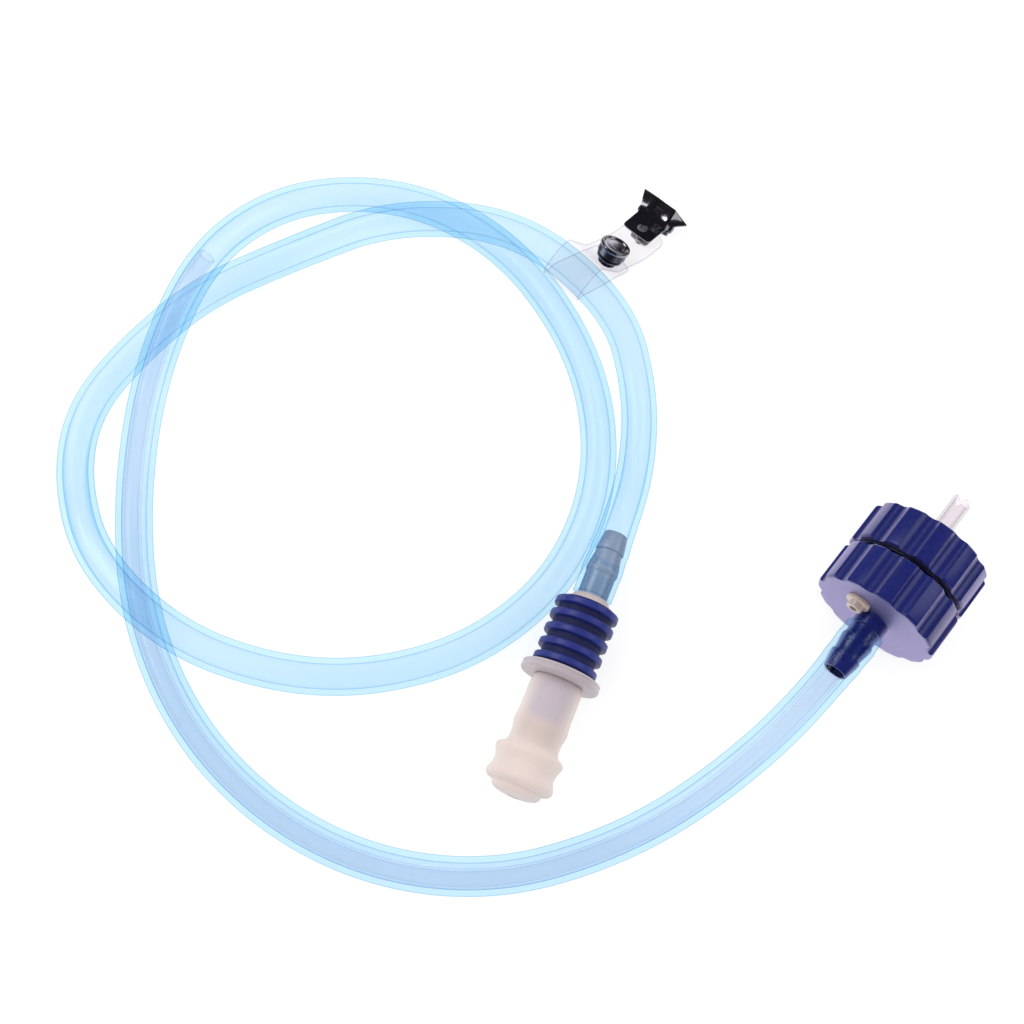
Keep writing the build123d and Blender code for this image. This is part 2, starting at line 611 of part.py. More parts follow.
# ---------------------------------------------------------------------------
# key points of the finished layout
# ---------------------------------------------------------------------------
hard = [cap_body, cap_gasket, straw_seal, vent_seat, vent_flap, adaptor_ring, adaptor_washer,
        bottle_gasket, straw_stub, valve_connector, grip_sleeve, shutoff_plug, valve_spout,
        spout_oring, mouthpiece, strap, snap_cap, snap_socket, snap_stud, snap_eyelet,
        clip_lower_jaw, clip_upper_jaw, clip_pin, clip_spring, clip_rivet]
low = [min(b.part.bounding_box().min.X for b in hard), min(b.part.bounding_box().min.Y for b in hard),
       min(b.part.bounding_box().min.Z for b in hard)]
high = [max(b.part.bounding_box().max.X for b in hard), max(b.part.bounding_box().max.Y for b in hard),
        max(b.part.bounding_box().max.Z for b in hard)]
print("hard pieces box", [round(v, 3) for v in low], [round(v, 3) for v in high],
      "middle", round((low[0] + high[0]) / 2, 3), round((low[1] + high[1]) / 2, 3))


def say(name, v):
    print(name, round(v.X, 3), round(v.Y, 3), round(v.Z, 3))


say("cap origin", CAP_A)
say("cap axis", CAP_AX)
say("valve origin", VAL_F)
say("valve axis", VAL_D)
say("loop centre", LOOP_C)
say("hose direction HD", HD)
say("HH", HH)
say("HP", HP)
say("snap centre upper", SNAP_UP)
say("snap normal", SNAP_N)
say("strap heading", STRAP_L)
say("rivet", RIVET)
say("pin", CLIP_O + HP * PIN_Y + UP * PIN_Z)
for name, b in (("cap", cap_body), ("hose", drink_hose), ("strap", strap)):
    bb = b.part.bounding_box()
    print(name, "box", [round(v, 2) for v in bb.min], [round(v, 2) for v in bb.max])
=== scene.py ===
import math

import bmesh
import bpy
from mathutils import Matrix, Vector
from mathutils import noise


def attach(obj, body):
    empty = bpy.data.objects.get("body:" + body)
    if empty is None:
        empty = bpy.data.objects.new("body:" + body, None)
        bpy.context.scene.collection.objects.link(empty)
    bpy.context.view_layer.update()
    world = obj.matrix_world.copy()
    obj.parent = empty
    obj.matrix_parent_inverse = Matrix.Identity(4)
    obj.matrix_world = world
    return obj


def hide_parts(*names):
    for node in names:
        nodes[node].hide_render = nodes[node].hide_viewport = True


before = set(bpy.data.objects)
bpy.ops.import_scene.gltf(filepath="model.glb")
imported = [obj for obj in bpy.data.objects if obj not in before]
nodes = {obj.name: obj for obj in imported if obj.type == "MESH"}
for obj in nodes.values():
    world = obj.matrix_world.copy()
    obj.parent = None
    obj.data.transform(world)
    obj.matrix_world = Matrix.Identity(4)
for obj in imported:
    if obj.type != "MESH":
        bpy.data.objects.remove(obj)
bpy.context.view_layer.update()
scene = bpy.context.scene

# ---------------------------------------------------------------------------
# layout: the same numbers as the CAD, in millimetres, then metres
# ---------------------------------------------------------------------------
OX, OY = 55.005, 8.559


def at(x, y, z):
    return Vector(((x - OX) / 1000, (y - OY) / 1000, z / 1000))


MM = 0.001
UP = Vector((0, 0, 1))
CAP_A = at(88.7, -33.4, 16.3)
CAP_AX = Vector((math.cos(math.radians(50.93)), math.sin(math.radians(50.93)), 0))
VAL_F = at(11.84, -46.55, 10.25)
VAL_D = Vector((-0.37158, -0.9284, 0)).normalized()

ROUTE = [
    (86.5, -36.1, 16.30), (71.4, -54.8, 16.30), (47.0, -74.6, 7.20),
    (23.7, -87.2, 4.75), (-4.2, -94.8, 4.75), (-33.2, -91.8, 4.75),
    (-59.6, -79.0, 4.75), (-81.2, -57.6, 4.75), (-95.0, -29.1, 4.75),
    (-99.2, 3.5, 5.80), (-94.3, 34.2, 15.50), (-83.8, 66.8, 15.50),
    (-66.1, 87.8, 8.00), (-42.0, 93.8, 4.75), (-17.6, 87.5, 4.75),
    (4.5, 70.0, 4.75), (21.2, 39.7, 4.75), (24.0, 8.1, 4.75),
    (13.4, -18.9, 4.75), (-7.6, -37.3, 4.75), (-33.3, -45.4, 4.75),
    (-58.4, -45.0, 5.80), (-83.0, -37.9, 15.50), (-104.9, -17.8, 15.50),
    (-114.8, 7.3, 7.50), (-113.9, 27.6, 4.75), (-103.1, 43.6, 4.75),
    (-85.5, 61.6, 4.75), (-61.1, 73.4, 5.40), (-31.8, 79.5, 16.00),
    (2.8, 76.3, 16.00), (28.7, 54.3, 10.40), (34.3, 32.4, 5.40),
    (33.1, 11.1, 5.80), (27.2, -8.2, 10.25), (20.13, -25.85, 10.25),
]

# ---------------------------------------------------------------------------
# camera, view and bounce settings
# ---------------------------------------------------------------------------
cam = bpy.data.objects.new("camera", bpy.data.cameras.new("camera"))
cam.data.lens = 50
cam.data.sensor_width = 36
cam.data.clip_start, cam.data.clip_end = 0.01, 10
cam.location = at(0, -118.78, 355.90)
cam.rotation_euler = (math.radians(18.456), 0, 0)
scene.collection.objects.link(cam)
scene.camera = cam

scene.view_settings.view_transform = "Standard"
scene.view_settings.look = "None"
scene.cycles.use_denoising = True
scene.cycles.max_bounces = 40
scene.cycles.transmission_bounces = 36
scene.cycles.transparent_max_bounces = 48
scene.cycles.glossy_bounces = 6
scene.cycles.diffuse_bounces = 4


# ---------------------------------------------------------------------------
# node helpers
# ---------------------------------------------------------------------------
def new_material(name):
    m = bpy.data.materials.new(name)
    m.use_nodes = True
    nt = m.node_tree
    nt.nodes.clear()
    out = nt.nodes.new("ShaderNodeOutputMaterial")
    return m, nt, out


def link(nt, a, b):
    nt.links.new(a, b)


def coords(nt, scale=1.0):
    tc = nt.nodes.new("ShaderNodeTexCoord")
    mp = nt.nodes.new("ShaderNodeMapping")
    mp.inputs["Scale"].default_value = (scale, scale, scale)
    link(nt, tc.outputs["Object"], mp.inputs["Vector"])
    return mp.outputs["Vector"]


def noise_node(nt, vec, scale, detail=3.0, rough=0.5):
    n = nt.nodes.new("ShaderNodeTexNoise")
    n.inputs["Scale"].default_value = scale
    n.inputs["Detail"].default_value = detail
    n.inputs["Roughness"].default_value = rough
    link(nt, vec, n.inputs["Vector"])
    return n.outputs["Fac"]


def ramp(nt, fac, stops):
    r = nt.nodes.new("ShaderNodeValToRGB")
    els = r.color_ramp.elements
    while len(els) > 1:
        els.remove(els[-1])
    els[0].position, els[0].color = stops[0][0], (*stops[0][1], 1)
    for pos, col in stops[1:]:
        e = els.new(pos)
        e.color = (*col, 1)
    link(nt, fac, r.inputs["Fac"])
    return r.outputs["Color"]


def maprange(nt, value, a0, a1, b0, b1):
    n = nt.nodes.new("ShaderNodeMapRange")
    n.inputs["From Min"].default_value = a0
    n.inputs["From Max"].default_value = a1
    n.inputs["To Min"].default_value = b0
    n.inputs["To Max"].default_value = b1
    link(nt, value, n.inputs["Value"])
    return n.outputs["Result"]


def bump(nt, height, strength, distance):
    b = nt.nodes.new("ShaderNodeBump")
    b.inputs["Strength"].default_value = strength
    b.inputs["Distance"].default_value = distance
    link(nt, height, b.inputs["Height"])
    return b.outputs["Normal"]


def srgb(r, g, b):
    def f(c):
        c /= 255
        return c / 12.92 if c <= 0.04045 else ((c + 0.055) / 1.055) ** 2.4
    return (f(r), f(g), f(b))


# ---------------------------------------------------------------------------
# materials
# ---------------------------------------------------------------------------
def plastic(name, low, high, rough=0.35, coat=0.15, grain=900.0, strength=0.05, spec=0.5,
            mottle=60.0, bloom=None):
    """Moulded plastic: slow colour variation, fine grain, small changes of gloss."""
    m, nt, out = new_material(name)
    vec = coords(nt)
    p = nt.nodes.new("ShaderNodeBsdfPrincipled")
    link(nt, ramp(nt, noise_node(nt, vec, mottle, 4), [(0.3, low), (0.7, high)]),
         p.inputs["Base Color"])
    fine = noise_node(nt, vec, grain, 4, 0.6)
    link(nt, maprange(nt, fine, 0.3, 0.7, rough - 0.05, rough + 0.07), p.inputs["Roughness"])
    link(nt, bump(nt, fine, strength, 0.0002), p.inputs["Normal"])
    p.inputs["Coat Weight"].default_value = coat
    p.inputs["Coat Roughness"].default_value = 0.2
    p.inputs["Specular IOR Level"].default_value = spec
    if bloom:
        # satin gloss that only shows where the surface is seen along its length
        lw = nt.nodes.new("ShaderNodeLayerWeight")
        lw.inputs["Blend"].default_value = 0.5
        g = nt.nodes.new("ShaderNodeBsdfGlossy")
        g.inputs["Color"].default_value = (*bloom, 1)
        link(nt, maprange(nt, fine, 0.3, 0.7, 0.5, 0.6), g.inputs["Roughness"])
        mx = nt.nodes.new("ShaderNodeMixShader")
        link(nt, maprange(nt, lw.outputs["Facing"], 0.36, 0.70, 0.0, 0.72), mx.inputs[0])
        link(nt, p.outputs[0], mx.inputs[1])
        link(nt, g.outputs[0], mx.inputs[2])
        link(nt, mx.outputs[0], out.inputs["Surface"])
    else:
        link(nt, p.outputs[0], out.inputs["Surface"])
    return m


def metal(name, low, high, rough=0.12, scratch=0.02):
    m, nt, out = new_material(name)
    vec = coords(nt)
    p = nt.nodes.new("ShaderNodeBsdfPrincipled")
    p.inputs["Metallic"].default_value = 1.0
    link(nt, ramp(nt, noise_node(nt, vec, 150, 4), [(0.3, low), (0.7, high)]), p.inputs["Base Color"])
    fine = noise_node(nt, vec, 500, 5, 0.7)
    link(nt, maprange(nt, fine, 0.3, 0.7, rough - 0.04, rough + 0.08), p.inputs["Roughness"])
    link(nt, bump(nt, fine, scratch, 0.0002), p.inputs["Normal"])
    link(nt, p.outputs[0], out.inputs["Surface"])
    return m


def tube_clear(name, stops, gloss=0.5, rough=0.05, blend=0.5):
    """Wall of a clear tinted tube. Each crossing filters the light; the stops give the filter
    from a wall met square on (0) to one met along its length (1)."""
    m, nt, out = new_material(name)
    vec = coords(nt)
    lw = nt.nodes.new("ShaderNodeLayerWeight")
    lw.inputs["Blend"].default_value = blend
    # faint drawing lines along the wall shift the tint a little
    wob = maprange(nt, noise_node(nt, vec, 45, 3), 0.3, 0.7, -0.012, 0.012)
    add = nt.nodes.new("ShaderNodeMath")
    add.operation = "ADD"
    link(nt, lw.outputs["Facing"], add.inputs[0])
    link(nt, wob, add.inputs[1])
    tr = nt.nodes.new("ShaderNodeBsdfTransparent")
    link(nt, ramp(nt, add.outputs[0], stops), tr.inputs["Color"])
    gl = nt.nodes.new("ShaderNodeBsdfGlossy")
    link(nt, maprange(nt, noise_node(nt, vec, 200, 3), 0.3, 0.7, rough, rough + 0.06), gl.inputs["Roughness"])
    fr = nt.nodes.new("ShaderNodeFresnel")
    fr.inputs["IOR"].default_value = 1.45
    amount = nt.nodes.new("ShaderNodeMath")
    amount.operation = "MULTIPLY"
    amount.inputs[1].default_value = gloss
    link(nt, fr.outputs[0], amount.inputs[0])
    most = nt.nodes.new("ShaderNodeMath")
    most.operation = "MINIMUM"
    most.inputs[1].default_value = 0.035
    link(nt, amount.outputs[0], most.inputs[0])
    mx = nt.nodes.new("ShaderNodeMixShader")
    link(nt, most.outputs[0], mx.inputs[0])
    link(nt, tr.outputs[0], mx.inputs[1])
    link(nt, gl.outputs[0], mx.inputs[2])
    link(nt, mx.outputs[0], out.inputs["Surface"])
    return m


def toned(name, inner, rim, rough=0.5, coat=0.0, gloss=0.4, grain=1200.0, mottle=90.0):
    """Cloudy moulding whose base colour turns to the rim colour where the sight line grazes it and the wall is deep:
    partly the deeper wall, partly painted light, a painted rim sheen where the rim colour is paler and painted rim
    shade where it is darker.
    """
    m, nt, out = new_material(name)
    vec = coords(nt)
    p = nt.nodes.new("ShaderNodeBsdfPrincipled")
    lw = nt.nodes.new("ShaderNodeLayerWeight")
    lw.inputs["Blend"].default_value = 0.5
    # base colour painted by viewing angle towards the rim colour: painted rim sheen on the paler mouldings, painted
    # rim shade on the darker ones
    body = nt.nodes.new("ShaderNodeMix")
    body.data_type = "RGBA"
    link(nt, maprange(nt, lw.outputs["Facing"], 0.12, 0.6, 0.0, 1.0), body.inputs[0])
    if inner == "wall":
        at_ = nt.nodes.new("ShaderNodeAttribute")
        at_.attribute_name = "wall"
        link(nt, at_.outputs["Color"], body.inputs[6])
    else:
        body.inputs[6].default_value = (*inner, 1)
    body.inputs[7].default_value = (*rim, 1)
    # random mottle in the moulding's own tone
    shade = ramp(nt, noise_node(nt, vec, mottle, 4), [(0.3, (0.95, 0.945, 0.95)), (0.7, (1, 1, 1))])
    mul = nt.nodes.new("ShaderNodeMix")
    mul.data_type = "RGBA"
    mul.blend_type = "MULTIPLY"
    mul.inputs[0].default_value = 1.0
    link(nt, body.outputs[2], mul.inputs[6])
    link(nt, shade, mul.inputs[7])
    link(nt, mul.outputs[2], p.inputs["Base Color"])
    p.inputs["Specular IOR Level"].default_value = gloss
    fine = noise_node(nt, vec, grain, 3)
    link(nt, maprange(nt, fine, 0.3, 0.7, rough - 0.06, rough + 0.08), p.inputs["Roughness"])
    link(nt, bump(nt, fine, 0.05, 0.0002), p.inputs["Normal"])
    p.inputs["Coat Weight"].default_value = coat
    p.inputs["Coat Roughness"].default_value = 0.3
    link(nt, p.outputs[0], out.inputs["Surface"])
    return m


M_HOSE = tube_clear("hose_clear", [(0.0, (0.893, 0.955, 0.993)), (0.25, (0.88, 0.951, 0.993)),
                                   (0.34, (0.775, 0.915, 0.988)), (0.66, (0.77, 0.91, 0.983)),
                                   (0.78, (0.64, 0.80, 0.90)), (1.0, (0.60, 0.76, 0.87))])
M_HOSE_BORE = tube_clear("hose_bore", [(0.0, (0.893, 0.955, 0.993)), (0.42, (0.888, 0.952, 0.993)),
                                       (0.55, (0.82, 0.912, 0.98)), (0.72, (0.72, 0.855, 0.945)),
                                       (0.95, (0.62, 0.78, 0.90))], 0.25)
M_STRAW = tube_clear("straw_lilac", [(0.0, (0.973, 0.968, 0.985)), (0.5, (0.963, 0.960, 0.981)),
                                     (0.78, (0.89, 0.895, 0.955)), (1.0, (0.76, 0.79, 0.91))], 0.3)
M_STRAW_RIM = tube_clear("straw_cut", [(0.0, (0.86, 0.87, 0.93)), (1.0, (0.80, 0.82, 0.90))], 0.3)
M_STUB = tube_clear("straw_stub_milky", [(0.0, (0.942, 0.914, 0.930)), (0.3, (0.932, 0.904, 0.920)),
                                         (0.36, (0.87, 0.848, 0.868)), (0.75, (0.84, 0.82, 0.84)),
                                         (1.0, (0.62, 0.61, 0.64))], 0.15)
BLOOM = (0.56, 0.50, 0.80)
M_NAVY = plastic("navy_moulded", srgb(11, 22, 96), srgb(14, 26, 102), 0.30, 0.25, 900, 0.015, 0.4, bloom=BLOOM)
# washer in the gap between cap and adaptor: a far darker navy than the cap, painted shade of that gap
M_WASHER_GAP_SHADE = plastic("navy_washer_gap_shade", srgb(8, 12, 40), srgb(12, 18, 52), 0.3, 0.4, 900, 0.04)
M_GRIP = plastic("navy_grip", srgb(17, 31, 112), srgb(24, 40, 126), 0.5, 0.2, 1500, 0.08, 0.4)
# darker navy for the grip's groove roots: painted shade in the recesses between the ribs
M_GROOVE_SHADE = plastic("navy_grip_root_shade", srgb(18, 22, 70), srgb(24, 28, 84), 0.6, 0.0, 1500, 0.08, 0.3)
M_SEAL = plastic("seal_silicone", srgb(205, 205, 212), srgb(222, 222, 226), 0.5, 0.0, 1200, 0.05)
# toned mouldings: rim colours painted by viewing angle, paler rims a painted sheen, darker rims a painted shade
M_VENT = toned("vent_milky", srgb(168, 152, 146), srgb(205, 184, 172), 0.18, 0.9, 0.6)
M_CONN = toned("connector_smoke", srgb(142, 150, 170), srgb(108, 118, 146), 0.25, 0.4, 0.5)
M_SHOULDER = toned("connector_shoulder", srgb(198, 184, 178), srgb(176, 162, 162), 0.4, 0.1, 0.5)
M_SPOUT = toned("spout_frosted", srgb(168, 156, 164), srgb(186, 174, 178), 0.4, 0.2, 0.5)
M_SILI = toned("mouth_silicone", "wall", srgb(222, 206, 198), 0.5, 0.0, 0.4)
M_STRAP = tube_clear("strap_vinyl", [(0.0, (0.980, 0.974, 0.982)), (0.6, (0.972, 0.966, 0.976)),
                                     (1.0, (0.90, 0.89, 0.92))], 0.35, 0.08)
M_STRAP_EDGE = tube_clear("strap_vinyl_edge", [(0.0, (0.86, 0.85, 0.88)), (1.0, (0.78, 0.77, 0.81))], 0.4, 0.1)
M_NICKEL = metal("black_nickel", (0.20, 0.19, 0.21), (0.32, 0.31, 0.34), 0.10)
M_NICKEL_FACE = metal("black_nickel_face", (0.42, 0.40, 0.46), (0.55, 0.52, 0.60), 0.20)
M_NICKEL_WALL = metal("black_nickel_wall", (0.13, 0.14, 0.19), (0.20, 0.21, 0.28), 0.3)
# pale nickel for the clip's lower plate: seen through the jaw's openings it stands in for the spring's white glints,
# a painted highlight
M_PALE_GLINT_NICKEL = metal("pale_nickel_painted_glint", (0.60, 0.59, 0.62), (0.70, 0.69, 0.72), 0.5)
M_STEEL = metal("spring_steel", (0.42, 0.42, 0.44), (0.55, 0.55, 0.58), 0.22)


# ---------------------------------------------------------------------------
# mesh helpers
# ---------------------------------------------------------------------------
def smooth_by_angle(obj, degrees=38):
    """Smooth shading, kept crisp across edges sharper than the angle."""
    me = obj.data
    bm = bmesh.new()
    bm.from_mesh(me)
    lim = math.radians(degrees)
    for f in bm.faces:
        f.smooth = True
    for e in bm.edges:
        if len(e.link_faces) == 2:
            e.smooth = e.calc_face_angle(0.0) < lim
    bm.to_mesh(me)
    bm.free()


def add_mesh(name, verts, faces, mats, body, replaces=(), sharp=38, mat_index=None):
    me = bpy.data.meshes.new(name)
    me.from_pydata([tuple(v) for v in verts], [], faces)
    me.validate()
    for m in mats:
        me.materials.append(m)
    if mat_index:
        for p in me.polygons:
            p.material_index = mat_index(p)
    obj = bpy.data.objects.new(name, me)
    scene.collection.objects.link(obj)
    bm = bmesh.new()
    bm.from_mesh(me)
    bmesh.ops.recalc_face_normals(bm, faces=bm.faces)
    bm.to_mesh(me)
    bm.free()
    smooth_by_angle(obj, sharp)
    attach(obj, body)
    if replaces:
        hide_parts(*replaces)
    return obj


def rounded(points, radii, steps=5):
    """A closed outline with its corners rounded; radii one for each point (0 keeps it sharp)."""
    out = []
    n = len(points)
    for i in range(n):
        a, b, c = (Vector((*points[j % n], 0)) for j in (i - 1, i, i + 1))
        r = radii[i] if isinstance(radii, (list, tuple)) else radii
        u, v = (a - b), (c - b)
        lu, lv = u.length, v.length
        if r <= 0 or lu < 1e-9 or lv < 1e-9:
            out.append((b.x, b.y))
            continue
        u.normalize()
        v.normalize()
        ang = u.angle(v)
        if ang > math.pi - 0.02 or ang < 0.02:
            out.append((b.x, b.y))
            continue
        d = min(r / math.tan(ang / 2), lu * 0.48, lv * 0.48)
        rr = d * math.tan(ang / 2)
        mid = (u + v).normalized() * (rr / math.sin(ang / 2))
        cen = b + mid
        p0, p1 = b + u * d - cen, b + v * d - cen
        tot = p0.angle(p1)
        sign = 1 if p0.cross(p1).z > 0 else -1
        for k in range(steps + 1):
            q = Matrix.Rotation(sign * tot * k / steps, 3, "Z") @ p0 + cen
            out.append((q.x, q.y))
    return out


def lathe_mesh(profile, origin, axis, segs=96, radial=None, thetas=None):
    """Verts and faces of a closed (r, t) outline in millimetres turned about the axis.
    radial(theta, r, t) may change the radius."""
    ref = UP if abs(axis.dot(UP)) < 0.99 else Vector((1, 0, 0))
    first = (ref - axis * axis.dot(ref)).normalized()
    side = axis.cross(first).normalized()
    if thetas:
        segs = len(thetas)
    verts, faces = [], []
    n = len(profile)
    for s in range(segs):
        th = thetas[s] if thetas else 2 * math.pi * s / segs
        dirv = first * math.cos(th) + side * math.sin(th)
        for r, t in profile:
            rr = radial(th, r, t) if radial else r
            verts.append(origin + dirv * (rr * MM) + axis * (t * MM))
    for s in range(segs):
        s2 = (s + 1) % segs
        for i in range(n):
            j = (i + 1) % n
            if profile[i][0] < 1e-6 and profile[j][0] < 1e-6:
                continue
            faces.append((s * n + i, s * n + j, s2 * n + j, s2 * n + i))
    return verts, faces


def lathe(name, profile, origin, axis, mats, body, replaces=(), segs=96, sharp=38, radial=None,
          thetas=None):
    verts, faces = lathe_mesh(profile, origin, axis, segs, radial, thetas)
    obj = add_mesh(name, verts, faces, mats, body, replaces, sharp)
    bm = bmesh.new()
    bm.from_mesh(obj.data)
    bmesh.ops.remove_doubles(bm, verts=bm.verts, dist=1e-7)
    bmesh.ops.dissolve_degenerate(bm, edges=bm.edges, dist=1e-8)
    bm.to_mesh(obj.data)
    bm.free()
    smooth_by_angle(obj, sharp)
    return obj


def step(values, s):
    """Piecewise smooth value at s from (s, value) pairs."""
    if s <= values[0][0]:
        return values[0][1]
    for (a, va), (b, vb) in zip(values, values[1:]):
        if s <= b:
            f = (s - a) / (b - a)
            f = f * f * (3 - 2 * f)
            return va + (vb - va) * f
    return values[-1][1]


# ---------------------------------------------------------------------------
# the hose's own line, and the tubes that follow it
# ---------------------------------------------------------------------------
cu = bpy.data.curves.new("hose_line", "CURVE")
cu.dimensions = "3D"
cu.resolution_u = 16
sp = cu.splines.new("NURBS")
sp.points.add(len(ROUTE) - 1)
for pnt, p in zip(sp.points, ROUTE):
    pnt.co = (*at(*p), 1.0)
sp.order_u = 3
sp.use_endpoint_u = True
line_obj = bpy.data.objects.new("hose_line", cu)
scene.collection.objects.link(line_obj)
bpy.context.view_layer.update()
line_mesh = bpy.data.meshes.new_from_object(line_obj)
LINE = [v.co.copy() for v in line_mesh.vertices]
bpy.data.objects.remove(line_obj)
if (LINE[0] - at(*ROUTE[0])).length > (LINE[-1] - at(*ROUTE[0])).length:
    LINE.reverse()
clean = [LINE[0]]
for p in LINE[1:]:
    if (p - clean[-1]).length > 0.0004:
        clean.append(p)
LINE = clean
S = [0.0]
for a, b in zip(LINE, LINE[1:]):
    S.append(S[-1] + (b - a).length)
TOTAL = S[-1]
print("hose line length", TOTAL, "points", len(LINE))


def frames_along(points, first_tangent=None, last_tangent=None):
    tans = []
    for i in range(len(points)):
        a, b = points[max(i - 1, 0)], points[min(i + 1, len(points) - 1)]
        tans.append((b - a).normalized())
    if first_tangent:
        tans[0] = first_tangent.normalized()
    if last_tangent:
        tans[-1] = last_tangent.normalized()
    nrm = UP - tans[0] * UP.dot(tans[0])
    nrm.normalize()
    out = []
    for i, t in enumerate(tans):
        if i:
            nrm = nrm - t * nrm.dot(t)
            nrm.normalize()
        out.append((t, nrm.copy(), t.cross(nrm)))
    return out


def tube_mesh(points, outer, inner, segs, first=None, last=None):
    """Hollow tube: outer(i) and inner(i) give the radii in metres; ends are closed by flat rims."""
    fr = frames_along(points, first, last)
    verts, faces = [], []
    n = len(points)
    for i, (p, (t, u, v)) in enumerate(zip(points, fr)):
        for r in (outer(i), inner(i)):
            for k in range(segs):
                a = 2 * math.pi * k / segs
                verts.append(p + (u * math.cos(a) + v * math.sin(a)) * r)
    row = 2 * segs
    for i in range(n - 1):
        for k in range(segs):
            k2 = (k + 1) % segs
            o = i * row
            faces.append((o + k, o + k2, o + row + k2, o + row + k))
            faces.append((o + segs + k2, o + segs + k, o + row + segs + k, o + row + segs + k2))
    for o, flip in ((0, True), ((n - 1) * row, False)):
        for k in range(segs):
            k2 = (k + 1) % segs
            f = (o + k, o + k2, o + segs + k2, o + segs + k)
            faces.append(tuple(reversed(f)) if flip else f)
    return verts, faces


HOSE_OUT_A = [(0, 5.0), (2.5, 5.05), (4.0, 5.2), (7.5, 5.0), (9.5, 5.05), (13.5, 4.85), (18, 4.75)]
HOSE_IN_A = [(0, 3.8), (2.8, 3.82), (3.6, 4.2), (8.0, 3.6), (8.7, 3.95), (13.2, 3.3), (17, 3.25)]
HOSE_OUT_B = [(0, 5.15), (5.9, 5.15), (7.0, 5.3), (11.8, 5.0), (12.8, 5.1), (17.5, 4.85), (24, 4.75)]
HOSE_IN_B = [(0, 3.9), (6.0, 3.9), (7.0, 4.25), (11.9, 3.5), (12.7, 3.75), (17.6, 3.3), (22, 3.25)]


def hose_outer(i):
    s, e = S[i] * 1000, (TOTAL - S[i]) * 1000
    return (step(HOSE_OUT_A, s) if s < e else step(HOSE_OUT_B, e)) * MM


def hose_inner(i):
    s, e = S[i] * 1000, (TOTAL - S[i]) * 1000
    return (step(HOSE_IN_A, s) if s < e else step(HOSE_IN_B, e)) * MM


# finer points at both ends, where the hose is stretched over the barbs
def densify(points, s_lo, s_hi, gap):
    out = []
    for i in range(len(points) - 1):
        out.append(points[i])
        if s_lo <= S[i] <= s_hi:
            d = (points[i + 1] - points[i]).length
            k = int(d / gap)
            for j in range(1, k):
                out.append(points[i].lerp(points[i + 1], j / k))
    out.append(points[-1])
    return out


LINE2 = densify(LINE, 0, 0.020, 0.0008)
tail = densify(LINE, TOTAL - 0.026, TOTAL, 0.0008)
cut = len(LINE) // 2
head_cut = LINE2.index(LINE[cut])
tail_cut = tail.index(LINE[cut])
HOSE_PTS = LINE2[:head_cut] + tail[tail_cut:]
S = [0.0]
for a, b in zip(HOSE_PTS, HOSE_PTS[1:]):
    S.append(S[-1] + (b - a).length)
TOTAL = S[-1]
hv, hf = tube_mesh(HOSE_PTS, hose_outer, hose_inner, 40, CAP_AX * -1, VAL_D)
HS = 40
hose = add_mesh("drink_hose_tube", hv, hf, [M_HOSE, M_HOSE_BORE], "hose_kit", ["drink_hose"], 50,
                mat_index=lambda p: 1 if all((v % (2 * HS)) >= HS for v in p.vertices) else 0)

# suction straw: from the cap's barb to 340 mm down the hose
STRAW_FROM, STRAW_TO, STRAW_SIDE = 0.0137, 0.3312, 1
straw_pts = []
for i, p in enumerate(HOSE_PTS):
    if STRAW_FROM <= S[i] <= STRAW_TO:
        t0 = HOSE_PTS[max(i - 1, 0)]
        t1 = HOSE_PTS[min(i + 1, len(HOSE_PTS) - 1)]
        tan = (t1 - t0).normalized()
        out_ = Vector((tan.y, -tan.x, 0)).normalized() * -1      # the bend's outside, on the right going down
        f = min(max((S[i] - 0.016) / 0.05, 0.0), 1.0)
        f = f * f * (3 - 2 * f)
        straw_pts.append(p + out_ * (STRAW_SIDE * 0.68 * MM * f))
sn = len(straw_pts)


def straw_out(i):
    return 2.5 * MM


straw_v, straw_f = tube_mesh(straw_pts, straw_out, lambda i: 1.85 * MM, 32)
last_row = (sn - 1) * 64
straw = add_mesh("inner_straw_tube", straw_v, straw_f, [M_STRAW, M_STRAW_RIM], "hose_kit",
                 ["inner_straw"], 50, mat_index=lambda p: 1 if min(p.vertices) >= last_row else 0)

# ---------------------------------------------------------------------------
# cap and adaptor: fluted rings with softened lands
# ---------------------------------------------------------------------------
LAND_R, FL_R, FL_D = 16.3, 3.05, 18.05


def flute_limit(theta_deg, centre0):
    """Radius of the scallop's wall at this angle, or a large number on a land."""
    d = (theta_deg - centre0 + 15) % 30 - 15
    d = math.radians(d)
    k = FL_R ** 2 - (FL_D * math.sin(d)) ** 2
    if k <= 0:
        return 99.0
    return FL_D * math.cos(d) - math.sqrt(k)


def soft_min(a, b, k):
    h = max(k - abs(a - b), 0.0) / k
    return min(a, b) - h * h * k * 0.25


FL_HALF = math.degrees(math.acos((FL_D ** 2 + LAND_R ** 2 - FL_R ** 2) / (2 * FL_D * LAND_R)))


def flute_angles(centre0):
    """Angles of the rings' sections: close together at each scallop's edges, even across the rest."""
    out = []
    for k in range(12):
        c = centre0 + 30 * k
        out += [c + FL_HALF * v for v in (-1.06, -1.02, -0.985, -0.95, -0.88, -0.75, -0.6, -0.45, -0.3, -0.15,
                                          0, 0.15, 0.3, 0.45, 0.6, 0.75, 0.88, 0.95, 0.985, 1.02, 1.06)]
        land = 30 - 2 * 1.06 * FL_HALF
        out += [c + 1.06 * FL_HALF + land * j / 8 for j in range(1, 8)]
    return [math.radians(a) for a in out]


def fluted(centre0):
    def radial(th, r, t):
        if r < 14.9:
            return r
        return soft_min(r, flute_limit(math.degrees(th), centre0), 0.12)
    return radial


